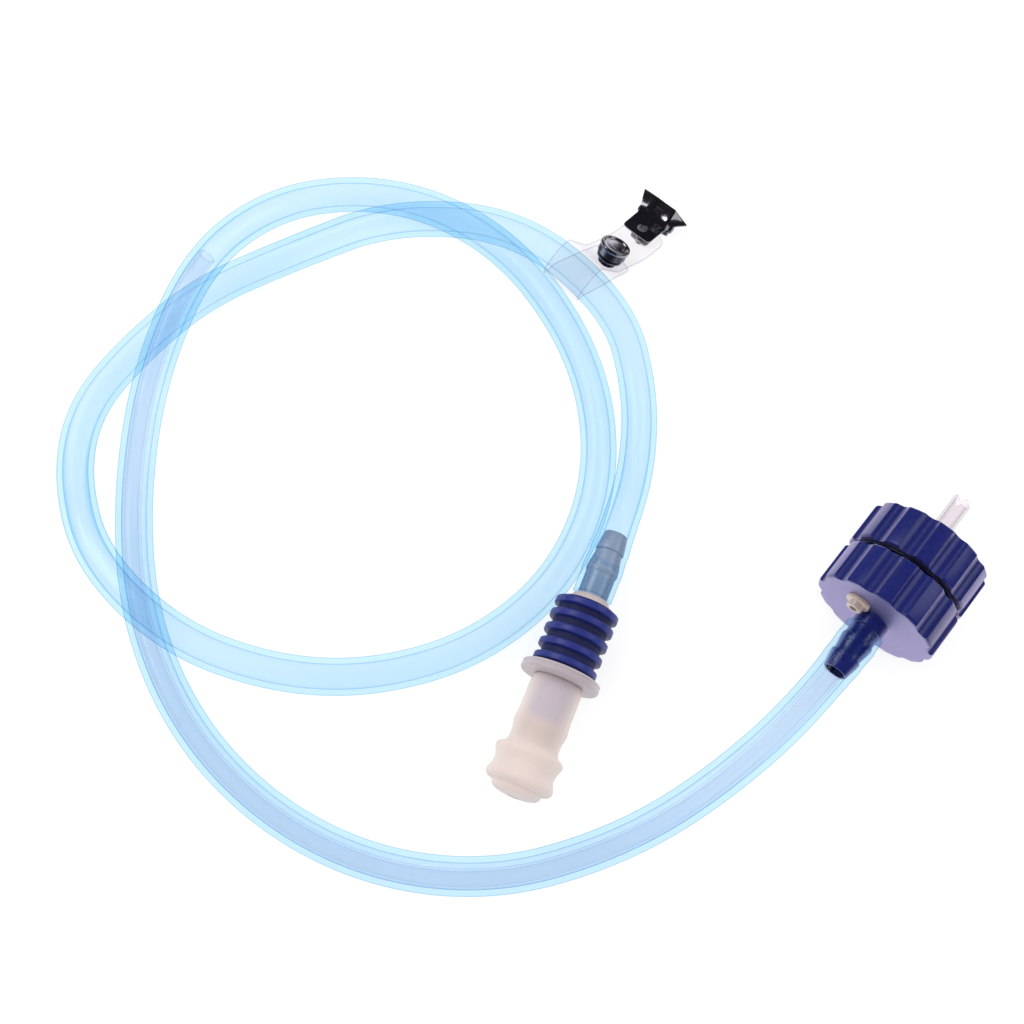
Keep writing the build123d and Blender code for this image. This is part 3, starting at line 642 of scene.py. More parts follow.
def thread(profile_r, t0, t1, pitch=3.0, depth=0.75, crest=0.7, width=1.9, starts=0.0, inward=True,
           turns=None, axis=CAP_AX, origin=CAP_A):
    """A helical screw ridge as its own closed mesh, sunk 0.15 mm into the wall it stands on."""
    side = axis.cross(UP).normalized()
    total = turns if turns else (t1 - t0 - width) / pitch
    steps = int(total * 72)
    sgn = -1 if inward else 1
    sec = [(-0.15, -width / 2), (depth, -crest / 2), (depth, crest / 2), (-0.15, width / 2)]
    verts, faces = [], []
    for i in range(steps + 1):
        f = i / steps
        a = 2 * math.pi * total * f + starts
        fade = min(1.0, f * total * 6, (1 - f) * total * 6)
        d = UP * math.cos(a) - side * math.sin(a)
        t = t0 + width / 2 + pitch * total * f
        for dr, dt in sec:
            rr = profile_r + sgn * (dr if dr < 0 else dr * max(fade, 0.02))
            verts.append(origin + d * (rr * MM) + axis * ((t + dt) * MM))
    for i in range(steps):
        for k in range(4):
            k2 = (k + 1) % 4
            o = i * 4
            faces.append((o + k, o + k2, o + 4 + k2, o + 4 + k))
    faces.append((0, 1, 2, 3))
    o = steps * 4
    faces.append((o + 3, o + 2, o + 1, o))
    return verts, faces


cap_prof = rounded(
    [(2.6, -16.5), (3.1, -16.5), (3.9, -11.8), (3.4, -11.7), (4.15, -6.8), (3.75, -6.6),
     (3.75, -3.5), (4.3, -3.5), (4.3, 0), (6.0, 0), (14.6, 0), (16.3, 0), (16.3, 11.8), (14.2, 11.8),
     (12.6, 11.8), (12.6, 2.5), (4.6, 2.5), (4.6, 0.9), (2.6, 0.9)],
    [0.15, 0.2, 0.15, 0.1, 0.2, 0.1, 0.1, 0.25, 0.5, 0, 0, 0.85, 0.6, 0, 0.3, 0.3, 0.2, 0.1, 0.1], 5)
# extra rings along the land, so that the flutes run crisp
cap = lathe("cap_shell", cap_prof, CAP_A, CAP_AX, [M_NAVY], "hose_kit",
            ["cap_body"], sharp=34, radial=fluted(8.5), thetas=flute_angles(8.5))

ring_prof = rounded(
    [(10.4, 4.2), (12.3, 4.2), (12.3, 13.3), (14.4, 13.3), (16.3, 13.3), (16.3, 24.6), (14.8, 24.6),
     (13.4, 24.6), (13.4, 14.6), (10.4, 14.6)],
    [0.3, 0.3, 0.2, 0, 0.6, 0.85, 0, 0.4, 0.3, 0.2], 5)
ring = lathe("adaptor_shell", ring_prof, CAP_A, CAP_AX, [M_NAVY], "adaptor",
             ["adaptor_ring"], sharp=34, radial=fluted(15.25), thetas=flute_angles(15.25))
tv, tf = thread(13.4, 16.4, 24.2, depth=0.55)
add_mesh("adaptor_thread", tv, tf, [M_NAVY], "adaptor")

washer_prof = rounded([(12.7, 12.2), (13.7, 12.2), (13.7, 12.5), (14.8, 12.55), (14.8, 12.8), (13.7, 12.85), (13.7, 13.2), (12.7, 13.2)],
                      [0.1, 0.05, 0.05, 0.12, 0.12, 0.05, 0.05, 0.1], 4)
# the washer's dark navy is the gap's painted shade
lathe("adaptor_washer_ring", washer_prof, CAP_A, CAP_AX, [M_WASHER_GAP_SHADE], "adaptor_lift",
      ["adaptor_washer"], segs=192)
for nm, node, body, prof in (
        ("cap_gasket_ring", "cap_gasket", "hose_kit", [(10.5, 2.5), (12.4, 2.5), (12.4, 3.9), (10.5, 3.9)]),
        ("bottle_gasket_ring", "bottle_gasket", "adaptor", [(10.8, 14.6), (13.2, 14.6), (13.2, 16.1), (10.8, 16.1)])):
    lathe(nm, rounded(prof, 0.3, 4), CAP_A, CAP_AX, [M_SEAL], body, [node], segs=128)
lathe("straw_seal_ring", rounded([(2.52, 1.5), (2.85, 0.95), (4.55, 0.95), (4.55, 2.6), (3.3, 3.0), (2.52, 2.4)],
      0.15, 3), CAP_A, CAP_AX, [M_SEAL], "hose_kit", ["straw_seal"], segs=96)

# vent: milky flanged plug and its flap
cap_side = CAP_AX.cross(UP).normalized()
VENT_O = CAP_A + UP * 5.0 * MM + cap_side * (-5.6 * MM)
lathe("vent_plug", rounded([(1.1, -2.6), (2.0, -2.6), (2.0, -1.0), (3.1, -1.0), (3.1, 0), (2.25, 0),
      (2.25, 2.55), (1.1, 2.55)], [0.15, 0.35, 0.15, 0.3, 0.1, 0.1, 0.1, 0.1], 4),
      VENT_O, CAP_AX, [M_VENT], "hose_kit", ["vent_seat"], segs=96)
lathe("vent_umbrella", rounded([(0, -1.8), (0.75, -1.6), (0.5, -0.9), (0.5, 2.6), (2.7, 2.6), (2.7, 2.85),
      (1.0, 3.2), (0, 3.2)], [0, 0.15, 0.15, 0.05, 0.1, 0.1, 0.2, 0], 4),
      VENT_O, CAP_AX, [M_SEAL], "hose_kit", ["vent_flap"], segs=64)

# straw stub with a notched tip
stub_pts = [CAP_A + CAP_AX * (t * MM) for t in
            [-17.0, -12, -6, 0, 6, 12, 18, 24, 28, 32, 35, 36.5, 37.3, 37.7, 38.1, 38.5, 38.9, 39.3, 39.6, 39.8]]
sv, sf = tube_mesh(stub_pts, lambda i: 2.5 * MM, lambda i: 1.85 * MM, 48, CAP_AX, CAP_AX)
stub = add_mesh("straw_stub_tube", sv, sf, [M_STUB], "straw", ["straw_stub"], 50)
bm = bmesh.new()
bm.from_mesh(stub.data)
for v in bm.verts:
    q = v.co - CAP_A
    t = q.dot(CAP_AX) * 1000
    if t > 37.0:
        s_ = q.dot(cap_side) * 1000
        u_ = q.dot(UP) * 1000
        lim = 38.4 + 1.4 * min(1.0, abs(s_ + 0.7) / 1.0) ** 1.5 - (0.0 if s_ < 0.6 else 0.9 * min(1.0, (s_ - 0.6) / 1.2))
        if t > lim:
            v.co += CAP_AX * ((lim - t) * MM)
bmesh.ops.remove_doubles(bm, verts=bm.verts, dist=1e-6)
bm.to_mesh(stub.data)
bm.free()

# ---------------------------------------------------------------------------
# bite valve
# ---------------------------------------------------------------------------
conn_prof = rounded(
    [(2.1, -39.8), (3.0, -39.8), (3.7, -34.8), (3.3, -34.6), (4.2, -29.3), (3.85, -28.2),
     (3.85, -21.8), (4.45, -21.8), (5.55, -20.2), (5.55, -18.9), (6.6, -18.9), (6.6, -2.0),
     (5.35, -2.0), (5.35, -17.9), (2.1, -17.9)],
    [0.15, 0.25, 0.15, 0.1, 0.2, 0.2, 0.1, 0.3, 0.3, 0.1, 0.2, 0.3, 0.2, 0.2, 0.1], 4)
barb = lathe("valve_barb", conn_prof, VAL_F, VAL_D, [M_CONN, M_SHOULDER], "hose_kit",
             ["valve_connector"], segs=128)
for pl in barb.data.polygons:
    pl.material_index = 1 if (pl.center - VAL_F).dot(VAL_D) * 1000 > -21.9 else 0

sleeve = [(5.65, -19.7), (7.0, -19.7), (7.05, -19.65)]
rad = [0, 0.1, 0]
for rib in (-18.3, -14.7, -10.8, -6.9, -3.1):
    sleeve += [(7.05, rib - 1.0), (8.3, rib - 0.85), (8.3, rib + 0.85), (7.05, rib + 1.0)]
    rad += [0.12, 0.35, 0.35, 0.12]
sleeve += [(7.0, -1.95), (6.65, -1.9), (6.65, -18.95), (5.65, -18.95)]
rad += [0.05, 0, 0, 0]
grip = lathe("grip_sleeve_ribbed", rounded(sleeve, rad, 4), VAL_F, VAL_D, [M_GRIP, M_GROOVE_SHADE], "hose_kit",
             ["grip_sleeve"], segs=128, sharp=50)
# faces at the groove roots take the darker navy: painted shade between the ribs
for pl in grip.data.polygons:
    q = pl.center - VAL_F
    q = (q - VAL_D * q.dot(VAL_D)).length * 1000
    pl.material_index = 1 if 6.9 < q < 7.25 else 0

lathe("valve_spout_flanged", rounded(
    [(4.0, -12.5), (5.2, -12.5), (5.2, -8.0), (4.15, -8.0), (4.15, -6.4), (5.2, -6.4), (5.2, -1.4),
     (9.8, -1.4), (10.2, -1.0), (10.05, -0.35), (10.2, -0.1), (10.2, 0.7), (9.8, 1.1), (5.95, 1.1), (5.95, 12.2),
     (4.3, 12.2), (4.3, 18.2), (2.6, 18.2), (2.6, -10.9), (4.0, -11.1)],
    [0.2, 0.2, 0.1, 0.1, 0.1, 0.1, 0.2, 0.2, 0.15, 0.1, 0.1, 0.2, 0.2, 0.1, 0.25, 0.1, 0.3, 0.2, 0.2, 0.1], 5),
    VAL_F, VAL_D, [M_SPOUT], "spout", ["valve_spout"], segs=128)

# silicone mouthpiece; its wall colour follows what is behind it
mouth_prof = [
    (6.0, 1.25), (6.15, 1.22), (6.35, 1.6), (6.6, 3.0), (6.62, 5.0), (6.62, 8.0), (6.62, 10.0),
    (6.68, 11.0), (6.8, 12.0), (6.9, 13.0), (6.82, 13.8), (6.62, 14.6), (6.45, 15.4), (6.4, 16.4),
    (6.4, 17.4), (6.5, 18.2), (6.8, 18.9), (7.4, 19.4), (8.1, 19.75), (8.5, 20.15), (8.65, 20.6),
    (8.65, 21.0), (8.5, 21.5), (8.25, 22.1), (8.0, 22.7), (7.82, 23.4), (7.76, 24.1), (7.82, 24.8),
    (8.0, 25.4), (8.28, 26.0), (8.5, 26.5), (8.6, 27.0), (8.57, 27.5), (8.4, 28.0), (8.0, 28.4),
    (7.3, 28.65), (6.6, 28.8), (6.35, 29.05), (6.3, 29.5), (6.1, 30.0), (5.6, 30.45), (4.6, 30.8),
    (3.4, 31.05), (1.8, 31.22), (0, 31.3), (0, 29.6), (3.4, 29.4), (4.9, 28.2), (5.1, 26.8),
    (5.0, 24.0), (5.1, 20.8), (4.8, 19.6), (4.35, 19.0), (4.35, 12.25), (6.0, 12.25)]
mouth = lathe("mouthpiece_silicone", mouth_prof, VAL_F, VAL_D, [M_SILI], "spout",
              ["mouthpiece"], segs=160, sharp=60)
att = mouth.data.color_attributes.new("wall", "FLOAT_COLOR", "POINT")
over, mid_, free = srgb(182, 170, 178), srgb(196, 180, 174), srgb(214, 197, 191)
for v in mouth.data.vertices:
    t = (v.co - VAL_F).dot(VAL_D) * 1000
    f1 = min(max((t - 11.0) / 2.5, 0), 1)
    f2 = min(max((t - 16.5) / 4.0, 0), 1)
    c = [over[k] + (mid_[k] - over[k]) * f1 for k in range(3)]
    c = [c[k] + (free[k] - c[k]) * f2 for k in range(3)]
    att.data[v.index].color = (*c, 1)
# slit in the end wall: a thin dark lens set into it, a painted shadow standing for the shade inside the cut
slit_v, slit_f = [], []
vs = VAL_D.cross(UP).normalized()
for k in range(24):
    a = 2 * math.pi * k / 24
    slit_v.append(VAL_F + VAL_D * (31.33 * MM - abs(math.cos(a)) ** 2 * 0.35 * MM) +
                  vs * (math.cos(a) * 3.1 * MM) + UP * (math.sin(a) * 0.16 * MM))
for k in range(24):
    a = 2 * math.pi * k / 24
    slit_v.append(VAL_F + VAL_D * (30.5 * MM) + vs * (math.cos(a) * 2.9 * MM) + UP * (math.sin(a) * 0.1 * MM))
for k in range(24):
    k2 = (k + 1) % 24
    slit_f.append((k, k2, 24 + k2, 24 + k))
slit_f.append(tuple(range(23, -1, -1)))
slit_f.append(tuple(range(24, 48)))
# the slit's colour is painted shadow
M_SLIT_SHADOW = plastic("slit_shadow", srgb(120, 106, 106), srgb(135, 120, 118), 0.6, 0.0)
add_mesh("mouthpiece_slit_shadow", slit_v, slit_f, [M_SLIT_SHADOW], "spout")

for nm, m in (("shutoff_plug", M_CONN), ("spout_oring", M_SEAL)):
    nodes[nm].data.materials.clear()
    nodes[nm].data.materials.append(m)

# ---------------------------------------------------------------------------
# strap: one clear vinyl band, looped round the hose and buckled by the snap
# ---------------------------------------------------------------------------
RUN_A, RUN_B = at(*ROUTE[30]), at(*ROUTE[31])
HD = (RUN_B - RUN_A).normalized()
HH = Vector((HD.x, HD.y, 0)).normalized()
HP = Vector((-HH.y, HH.x, 0))
HN = HD.cross(HP)
LOOP_C = (RUN_A + RUN_B) / 2 + HD * 1.3 * MM
SKEW = math.radians(9.0)
STRAP_L = HP * math.cos(SKEW) + HH * math.sin(SKEW)
STRAP_X = HH * math.cos(SKEW) - HP * math.sin(SKEW)


def lay(p, z, off=0.0):
    c = LOOP_C + HP * (p * MM) + HH * ((p * math.tan(SKEW) + off) * MM)
    return Vector((c.x, c.y, z * MM))


def on_loop(angle, r=5.5):
    a = math.radians(angle)
    return LOOP_C + (HP * math.cos(a) + HN * math.sin(a)) * (r * MM)


LEAN = math.radians(35)
SNAP_H = Vector((0.70, 0.714, 0)).normalized()
SNAP_N = SNAP_H * math.sin(LEAN) + UP * math.cos(LEAN)
SNAP_T = SNAP_H * math.cos(LEAN) - UP * math.sin(LEAN)
SNAP_X = SNAP_T.cross(SNAP_N).normalized()
if SNAP_X.dot(STRAP_X) < 0:
    SNAP_X = -SNAP_X
SNAP_LOW = lay(12.5, 3.3, 0.2)
SNAP_UP = SNAP_LOW + SNAP_N * 1.95 * MM
RIVET = lay(25.0, 0.8, 0.3)
band = []                                   # (point, width direction)
for k in (4.4, 2.3, 0, -2.3, -4.0):
    band.append((SNAP_LOW + SNAP_T * k * MM, SNAP_X))
low_pt, low_end = on_loop(-98), SNAP_LOW - SNAP_T * 4.0 * MM
for f in (0.25, 0.5, 0.75):
    band.append((low_end.lerp(low_pt, f) - UP * 0.3 * MM * math.sin(math.pi * f),
                 (SNAP_X * (1 - f) + HD * f).normalized()))
for k in range(0, 23):
    band.append((on_loop(-98 - 220 * k / 22), HD))
top_pt, top_end = on_loop(42), SNAP_UP - SNAP_T * 4.0 * MM
for f in (0.2, 0.4, 0.6, 0.8):
    band.append((top_pt.lerp(top_end, f) - UP * 0.25 * MM * math.sin(math.pi * f),
                 (HD * (1 - f) + SNAP_X * f).normalized()))
for k in (-4.0, -2.3, 0, 2.3, 4.0):
    band.append((SNAP_UP + SNAP_T * k * MM, SNAP_X))
for p, z in ((20.2, 1.5), (21.8, 0.92), (23.4, 0.8), (25.0, 0.8), (26.8, 0.8), (28.4, 0.8), (29.5, 0.8)):
    band.append((lay(p, z), STRAP_X))
# resample the middle line evenly with a smooth curve through the stations
stations = band
fine = []
for i in range(len(stations) - 1):
    p0 = stations[max(i - 1, 0)][0]
    p1, w1 = stations[i]
    p2, w2 = stations[i + 1]
    p3 = stations[min(i + 2, len(stations) - 1)][0]
    for k in range(3):
        u = k / 3
        u2, u3 = u * u, u * u * u
        q = (p1 * 2 + (p2 - p0) * u + (p0 * 2 - p1 * 5 + p2 * 4 - p3) * u2 +
             (p1 * 3 - p0 - p2 * 3 + p3) * u3) * 0.5
        fine.append((q, w1.lerp(w2, u).normalized()))
fine.append(stations[-1])
for _ in range(5):                          # ease the joins between the runs
    fine = ([fine[0]] +
            [(fine[i][0] * 0.5 + (fine[i - 1][0] + fine[i + 1][0]) * 0.25,
              (fine[i][1] * 2 + fine[i - 1][1] + fine[i + 1][1]).normalized())
             for i in range(1, len(fine) - 1)] + [fine[-1]])
arc = [0.0]
for (a, _), (b, _) in zip(fine, fine[1:]):
    arc.append(arc[-1] + (b - a).length)
ALL = arc[-1]
NW = 14
HALF_W, HALF_T, EDGE = 6.0 * MM, 0.35 * MM, 0.24 * MM
verts, faces, kinds = [], [], []
for i, (p, wd) in enumerate(fine):
    a = fine[max(i - 1, 0)][0]
    b = fine[min(i + 1, len(fine) - 1)][0]
    tan = (b - a).normalized()
    wd = (wd - tan * wd.dot(tan)).normalized()
    nr = wd.cross(tan).normalized()
    e = min(arc[i], ALL - arc[i])
    rc = 2.6 * MM                           # corner radius of the band's ends
    half = HALF_W
    if e < rc:
        half = HALF_W - rc + math.sqrt(max(rc * rc - (rc - e) ** 2, 0.0))
    for lay_side in (1, -1):
        for k in range(NW + 1):
            x = (-half if k == 0 else half if k == NW else
                 (half - EDGE) * (-1 + 2 * (k - 1) / (NW - 2)))
            edge = min(k, NW - k)
            th = HALF_T * (0.45 if edge == 0 else 0.9 if edge == 1 else 1.0)
            verts.append(p + wd * x + nr * (th * lay_side))
row = 2 * (NW + 1)
for i in range(len(fine) - 1):
    o = i * row
    for k in range(NW):
        faces.append((o + k, o + k + 1, o + row + k + 1, o + row + k))
        kinds.append(1 if k in (0, NW - 1) else 0)
        faces.append((o + NW + 1 + k + 1, o + NW + 1 + k, o + row + NW + 1 + k, o + row + NW + 2 + k))
        kinds.append(1 if k in (0, NW - 1) else 0)
    for k in (0, NW):
        faces.append((o + k, o + row + k, o + row + NW + 1 + k, o + NW + 1 + k))
        kinds.append(1)
for o in (0, (len(fine) - 1) * row):
    for k in range(NW):
        faces.append((o + k, o + k + 1, o + NW + 2 + k, o + NW + 1 + k))
        kinds.append(1)
me = bpy.data.meshes.new("strap_band")
me.from_pydata([tuple(v) for v in verts], [], faces)
me.materials.append(M_STRAP)
me.materials.append(M_STRAP_EDGE)
for p, k in zip(me.polygons, kinds):
    p.material_index = k
bm = bmesh.new()
bm.from_mesh(me)
bmesh.ops.recalc_face_normals(bm, faces=bm.faces)
bm.to_mesh(me)
bm.free()
strap = bpy.data.objects.new("strap_band", me)
scene.collection.objects.link(strap)
smooth_by_angle(strap, 60)
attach(strap, "clip_strap")
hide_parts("strap")

# snap: ridged wall, black rim and a grey dished face
snap_wall = [(0, 0.4), (3.9, 0.4)]
for k in range(0, 17):
    t = 0.5 + 2.0 * k / 16
    snap_wall.append((4.02 + 0.1 * math.sin(k * math.pi / 2), t))
snap_wall += [(4.1, 2.55), (3.9, 2.6), (0, 2.6)]
lathe("snap_wall_ridged", snap_wall, SNAP_UP, SNAP_N, [M_NICKEL_WALL], "clip_strap", [], segs=96)
lathe("snap_cap_rim", rounded([(0, 2.55), (4.4, 2.55), (4.4, 3.6), (3.55, 3.6), (3.2, 3.15), (0, 3.05)],
      [0, 0.3, 0.4, 0.2, 0.2, 0], 5), SNAP_UP, SNAP_N, [M_NICKEL], "clip_strap",
      ["snap_cap"], segs=96)
lathe("snap_cap_face", rounded([(0, 3.04), (3.25, 3.08), (3.3, 3.3), (2.6, 3.22), (1.5, 3.32), (0, 3.36)],
      [0, 0.05, 0.05, 0.1, 0.1, 0], 4), SNAP_UP, SNAP_N, [M_NICKEL_FACE], "clip_strap", [], segs=96)
lathe("snap_socket_ring", rounded([(1.42, -0.38), (3.7, -0.38), (3.7, -0.85), (3.4, -0.98), (1.75, -0.98),
                                   (1.75, -0.6), (1.42, -0.6)], [0, 0.12, 0.15, 0.1, 0, 0, 0], 3),
      SNAP_UP, SNAP_N, [M_NICKEL_WALL], "clip_strap", ["snap_socket"], segs=96)
lathe("snap_stud_knob", rounded([(0, -1.57), (2.5, -1.57), (2.5, -1.3), (1.5, -1.2), (1.6, -0.85), (1.3, -0.65),
                                 (0, -0.65)], [0, 0.1, 0.1, 0.15, 0.1, 0.15, 0], 3),
      SNAP_UP, SNAP_N, [M_NICKEL_WALL], "clip_strap", ["snap_stud"], segs=64)
lathe("snap_eyelet_head", rounded([(0, -2.75), (2.3, -2.75), (2.6, -2.5), (2.5, -2.33), (0, -2.33)],
                                  [0, 0.15, 0.12, 0.05, 0], 3),
      SNAP_UP, SNAP_N, [M_NICKEL], "clip_strap", ["snap_eyelet"], segs=64)
for nm in ("clip_pin",):
    nodes[nm].data.materials.clear()
    nodes[nm].data.materials.append(M_NICKEL_WALL)

# ---------------------------------------------------------------------------
# clip: pressed-sheet upper jaw and its spring
# ---------------------------------------------------------------------------
CLIP_O = Vector((RIVET.x, RIVET.y, 0))


def clip_at(x, y, z):
    return CLIP_O + HH * (x * MM) + HP * (y * MM) + UP * (z * MM)


# stations along the clip: y, half width, half width of the flat middle, its height, and the height
# of the left and right tips: the left side stays nearly level and the right side is turned down
JAW = [
    (-3.25, 3.3, 3.0, 8.05, 8.03, 8.02), (-3.1, 4.0, 3.7, 8.0, 7.97, 7.95), (-2.7, 4.45, 4.1, 7.87, 7.83, 7.8),
    (-2.0, 4.6, 4.25, 7.62, 7.55, 7.52), (0.0, 4.6, 4.25, 6.9, 6.82, 6.78), (1.5, 4.6, 4.25, 6.36, 6.28, 6.2),
    (3.0, 4.62, 4.15, 5.83, 5.72, 5.55), (4.0, 4.66, 4.05, 5.48, 5.35, 5.05), (4.8, 4.8, 3.9, 5.22, 5.1, 4.7),
    (5.8, 5.2, 3.75, 5.02, 4.9, 4.5), (6.8, 5.65, 3.6, 4.97, 4.85, 4.42), (7.8, 6.15, 3.45, 4.98, 4.85, 4.3),
    (8.7, 6.65, 3.3, 5.03, 4.9, 3.8), (9.7, 7.15, 3.18, 5.12, 4.95, 3.1), (10.5, 7.5, 3.08, 5.24, 5.05, 2.55),
    (10.95, 7.68, 3.03, 5.32, 5.1, 2.3), (11.12, 7.62, 3.0, 5.34, 5.1, 2.2), (11.2, 7.35, 3.0, 5.28, 5.04, 2.15)]
NX = 24
TH = 0.5 * MM
verts, faces = [], []
for y, hw, flat, z, zl, zr in JAW:
    for side in (1, -1):
        for k in range(NX + 1):
            # six columns on each wing, twelve on the flat middle
            if k < 6:
                x = -hw + (hw - flat) * k / 6
            elif k > 18:
                x = flat + (hw - flat) * (k - 18) / 6
            else:
                x = flat * (-1 + (k - 6) / 6)
            fx = max(0.0, (abs(x) - flat) / (hw - flat))
            dish = -0.22 * math.cos(min(1.0, abs(x) / flat) * math.pi / 2) * (1 if 0 < y < 10.2 else 0.3)
            drop = (z - (zl if x < 0 else zr)) * fx
            verts.append(clip_at(x, y, z - drop + dish + (0.0 if side > 0 else -0.5)))
row = 2 * (NX + 1)
for i in range(len(JAW) - 1):
    o = i * row
    for k in range(NX):
        faces.append((o + k, o + k + 1, o + row + k + 1, o + row + k))
        faces.append((o + NX + 1 + k + 1, o + NX + 1 + k, o + row + NX + 1 + k, o + row + NX + 2 + k))
    for k in (0, NX):
        faces.append((o + k, o + row + k, o + row + NX + 1 + k, o + NX + 1 + k))
for o in (0, (len(JAW) - 1) * row):
    for k in range(NX):
        faces.append((o + k, o + k + 1, o + NX + 2 + k, o + NX + 1 + k))
jaw = add_mesh("clip_jaw_pressed", verts, faces, [M_NICKEL], "upper_jaw",
               ["clip_upper_jaw"], 40)


def cutter(name, outline, z0, z1):
    n = len(outline)
    v = [clip_at(x, y, z0) for x, y in outline] + [clip_at(x, y, z1) for x, y in outline]
    f = [tuple(range(n - 1, -1, -1)), tuple(range(n, 2 * n))]
    f += [(i, (i + 1) % n, n + (i + 1) % n, n + i) for i in range(n)]
    m = bpy.data.meshes.new(name)
    m.from_pydata([tuple(p) for p in v], [], f)
    o = bpy.data.objects.new(name, m)
    scene.collection.objects.link(o)
    bmx = bmesh.new()
    bmx.from_mesh(m)
    bmesh.ops.recalc_face_normals(bmx, faces=bmx.faces)
    bmx.to_mesh(m)
    bmx.free()
    return o


def cut(obj, tool):
    mod = obj.modifiers.new("cut", "BOOLEAN")
    mod.operation = "DIFFERENCE"
    mod.solver = "EXACT"
    mod.object = tool
    bpy.context.view_layer.update()
    dg = bpy.context.evaluated_depsgraph_get()
    res = bpy.data.meshes.new_from_object(obj.evaluated_get(dg))
    obj.modifiers.clear()
    obj.data = res
    bpy.data.objects.remove(tool)
    smooth_by_angle(obj, 40)


cut(jaw, cutter("hole", [(1.5 * math.cos(2 * math.pi * k / 32), 1.5 * math.sin(2 * math.pi * k / 32))
                         for k in range(32)], 3, 9))
cut(jaw, cutter("window", rounded([(1.4, 1.2), (4.0, 1.2), (4.0, 4.2), (1.4, 4.2)], 0.4, 4), 3, 9))
# opening over the spring, with a small round one beside it
cut(jaw, cutter("spring_window", rounded([(-2.3, 7.1), (0.5, 7.1), (0.3, 9.3), (-1.9, 9.5)], 0.5, 5), 3, 9))
cut(jaw, cutter("spring_eye", [(-3.0 + 0.42 * math.cos(2 * math.pi * k / 20), 6.6 + 0.42 * math.sin(2 * math.pi * k / 20))
                               for k in range(20)], 3, 9))


def prism(name, outline, lo, hi, along, mats, body, replaces=()):
    """Flat plate of the clip: the outline is in x, z (along y) or in x, y (along z)."""
    n = len(outline)
    if along == "y":
        v = [clip_at(x, lo, z) for x, z in outline] + [clip_at(x, hi, z) for x, z in outline]
    elif along == "x":
        v = [clip_at(lo, y, z) for y, z in outline] + [clip_at(hi, y, z) for y, z in outline]
    else:
        v = [clip_at(x, y, lo) for x, y in outline] + [clip_at(x, y, hi) for x, y in outline]
    f = [tuple(range(n - 1, -1, -1)), tuple(range(n, 2 * n))]
    f += [(i, (i + 1) % n, n + (i + 1) % n, n + i) for i in range(n)]
    return add_mesh(name, v, f, mats, body, list(replaces))


# toothed front wall that closes on the lower jaw
wall = [(-7.45, 4.5), (-7.4, 4.95), (-3.0, 5.2), (3.0, 5.2), (7.35, 2.1), (7.3, 1.95)]
for k in range(14):
    wall += [(7.0 - k, 1.85), (6.5 - k, 2.35)]
wall += [(-7.0, 1.85), (-7.35, 2.0)]
prism("clip_jaw_front", wall, 10.62, 11.08, "y", [M_NICKEL], "upper_jaw")
# lower jaw: plate with a narrow tail, and the two ears folded up to hold the pin
low_plate = rounded([(-2.8, -1.5), (2.8, -1.5), (3.3, 4.6), (5.2, 4.9), (5.2, 10.85), (-5.2, 10.85), (-5.2, 4.9),
                     (-3.3, 4.6)], [0.9, 0.9, 0.5, 0.3, 0.4, 0.4, 0.3, 0.5], 5)
# pale plate: painted highlight showing through the jaw's openings as white glints
prism("clip_lower_plate", low_plate, 1.22, 1.74, "z", [M_PALE_GLINT_NICKEL], "clip_strap", ["clip_lower_jaw"])
for sgn in (-1, 1):
    lug = rounded([(5.1, 1.5), (8.2, 1.5), (8.2, 3.0), (7.3, 4.1), (6.2, 3.95), (5.3, 2.7)],
                  [0, 0, 0.3, 0.7, 0.7, 0.4], 5)
    prism("clip_lug_%s" % ("a" if sgn < 0 else "b"), lug, sgn * 4.72, sgn * 5.18, "x", [M_NICKEL_WALL],
          "clip_strap")
lathe("clip_rivet_heads", rounded([(0, 0.05), (1.5, 0.05), (1.5, 0.38), (1.05, 0.42), (1.05, 1.76), (1.5, 1.78),
                                   (1.4, 2.14), (0, 2.26)], [0, 0.15, 0.1, 0, 0, 0.05, 0.2, 0], 4),
      CLIP_O, UP, [M_STEEL], "clip_strap", ["clip_rivet"], segs=48)
# inner ears on the pin
for sgn in (-1, 1):
    ear = rounded([(5.4, 4.5), (7.8, 4.5), (7.8, 2.4), (6.5, 1.9), (5.4, 2.4)], [0.1, 0.1, 0.7, 0.9, 0.7], 5)
    n = len(ear)
    v = [clip_at(sgn * 4.12, y, z) for y, z in ear] + [clip_at(sgn * 4.58, y, z) for y, z in ear]
    f = [tuple(range(n - 1, -1, -1)), tuple(range(n, 2 * n))]
    f += [(i, (i + 1) % n, n + (i + 1) % n, n + i) for i in range(n)]
    add_mesh("clip_ear_%s" % ("a" if sgn < 0 else "b"), v, f, [M_NICKEL_WALL], "upper_jaw")

# torsion spring: a close coil round the pin and two legs
wire, R_C = 0.22, 1.02
pts = []
turns = 8
for i in range(turns * 24 + 1):
    a = 2 * math.pi * i / 24
    pts.append(clip_at(-2.1 + 4.2 * i / (turns * 24), 6.5 + R_C * math.sin(a), 3.1 - R_C * math.cos(a)))
pts = [clip_at(-2.1, 2.0, 2.02), clip_at(-2.1, 4.2, 2.05)] + pts + [clip_at(2.1, 4.6, 2.25), clip_at(2.12, 3.2, 4.7), clip_at(2.12, 2.2, 5.2)]
sv, sf = tube_mesh(pts, lambda i: wire * MM, lambda i: 0.02 * MM, 10)
add_mesh("clip_spring_wire", sv, sf, [M_STEEL], "clip_strap", ["clip_spring"], 60)

# ---------------------------------------------------------------------------
# floor and light
# ---------------------------------------------------------------------------
floor_me = bpy.data.meshes.new("floor")
floor_me.from_pydata([(-3, -3, 0), (3, -3, 0), (3, 3, 0), (-3, 3, 0)], [], [(0, 1, 2, 3)])
M_FLOOR, nt, out = new_material("floor_white")
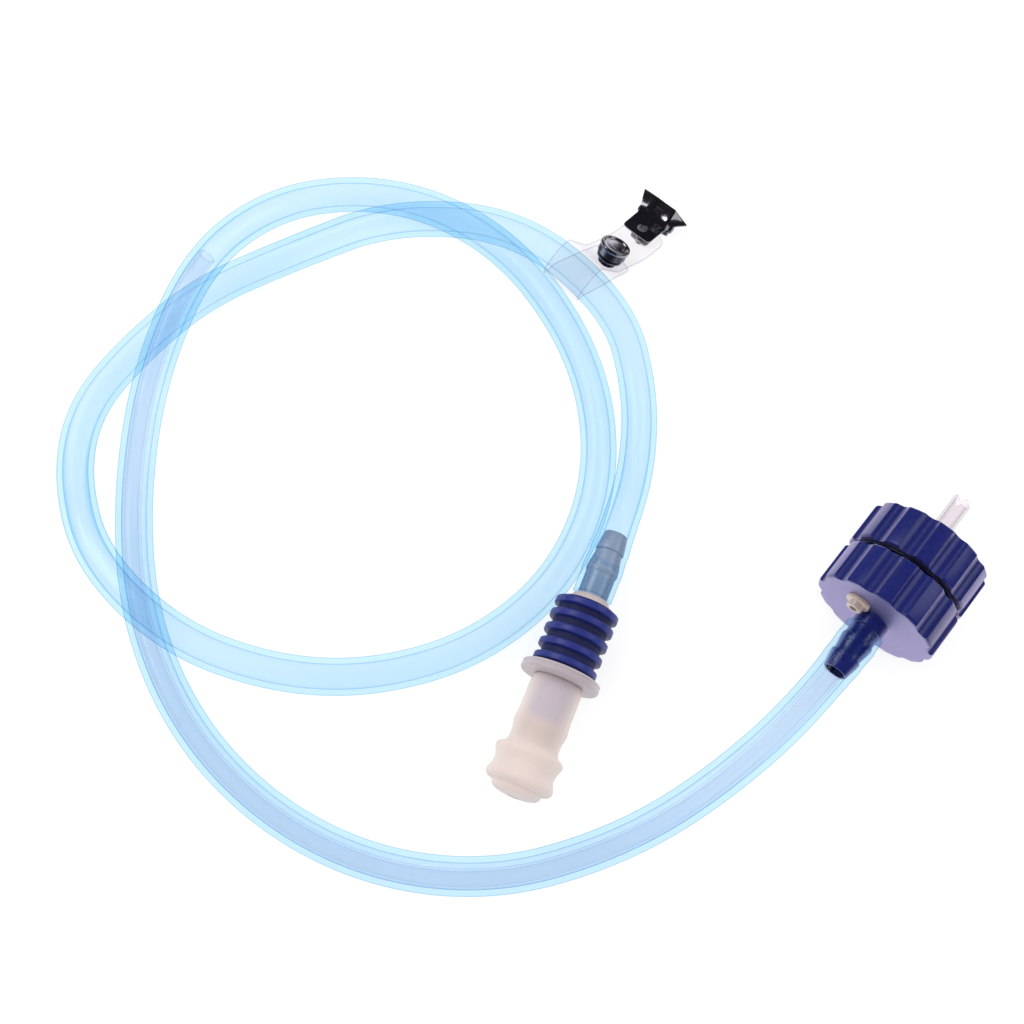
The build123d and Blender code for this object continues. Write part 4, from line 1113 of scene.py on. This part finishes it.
# a light table: mostly its own glow, with a little of what falls on it
d = nt.nodes.new("ShaderNodeBsdfDiffuse")
d.inputs["Color"].default_value = (0.34, 0.34, 0.34, 1)
em = nt.nodes.new("ShaderNodeEmission")
em.inputs["Color"].default_value = (1, 1, 1, 1)
em.inputs["Strength"].default_value = 0.72
ad = nt.nodes.new("ShaderNodeAddShader")
link(nt, d.outputs[0], ad.inputs[0])
link(nt, em.outputs[0], ad.inputs[1])
link(nt, ad.outputs[0], out.inputs["Surface"])
floor_me.materials.append(M_FLOOR)
floor = bpy.data.objects.new("floor", floor_me)
floor.location.z = -0.0002
scene.collection.objects.link(floor)

world = bpy.data.worlds.new("studio")
scene.world = world
world.use_nodes = True
wn = world.node_tree
wn.nodes.clear()
wo = wn.nodes.new("ShaderNodeOutputWorld")
bg = wn.nodes.new("ShaderNodeBackground")
bg.inputs["Color"].default_value = (1, 1, 1, 1)
bg.inputs["Strength"].default_value = 1.0
bg2 = wn.nodes.new("ShaderNodeBackground")
bg2.inputs["Color"].default_value = (0.035, 0.035, 0.045, 1)
bg2.inputs["Strength"].default_value = 1.0
lp = wn.nodes.new("ShaderNodeLightPath")
mx = wn.nodes.new("ShaderNodeMixShader")
wn.links.new(lp.outputs["Is Glossy Ray"], mx.inputs[0])
wn.links.new(bg.outputs[0], mx.inputs[1])
wn.links.new(bg2.outputs[0], mx.inputs[2])
wn.links.new(mx.outputs[0], wo.inputs["Surface"])


def softbox(name, pos, target, size, power, tint=(1, 1, 1)):
    li = bpy.data.lights.new(name, "AREA")
    li.shape = "RECTANGLE"
    li.size, li.size_y = size
    li.energy = power
    li.color = tint
    o = bpy.data.objects.new(name, li)
    o.location = pos
    o.rotation_euler = (target - pos).to_track_quat("-Z", "Y").to_euler()
    scene.collection.objects.link(o)


CEN = Vector((-0.055, 0, 0))
softbox("key", Vector((-0.60, 0.35, 0.75)), CEN, (0.7, 0.5), 3.2)
softbox("side", Vector((0.72, 0.02, 0.58)), CEN, (0.6, 0.5), 1.3)
softbox("glint", Vector((-0.05, 0.75, 0.95)), CEN, (0.10, 0.10), 0.25)
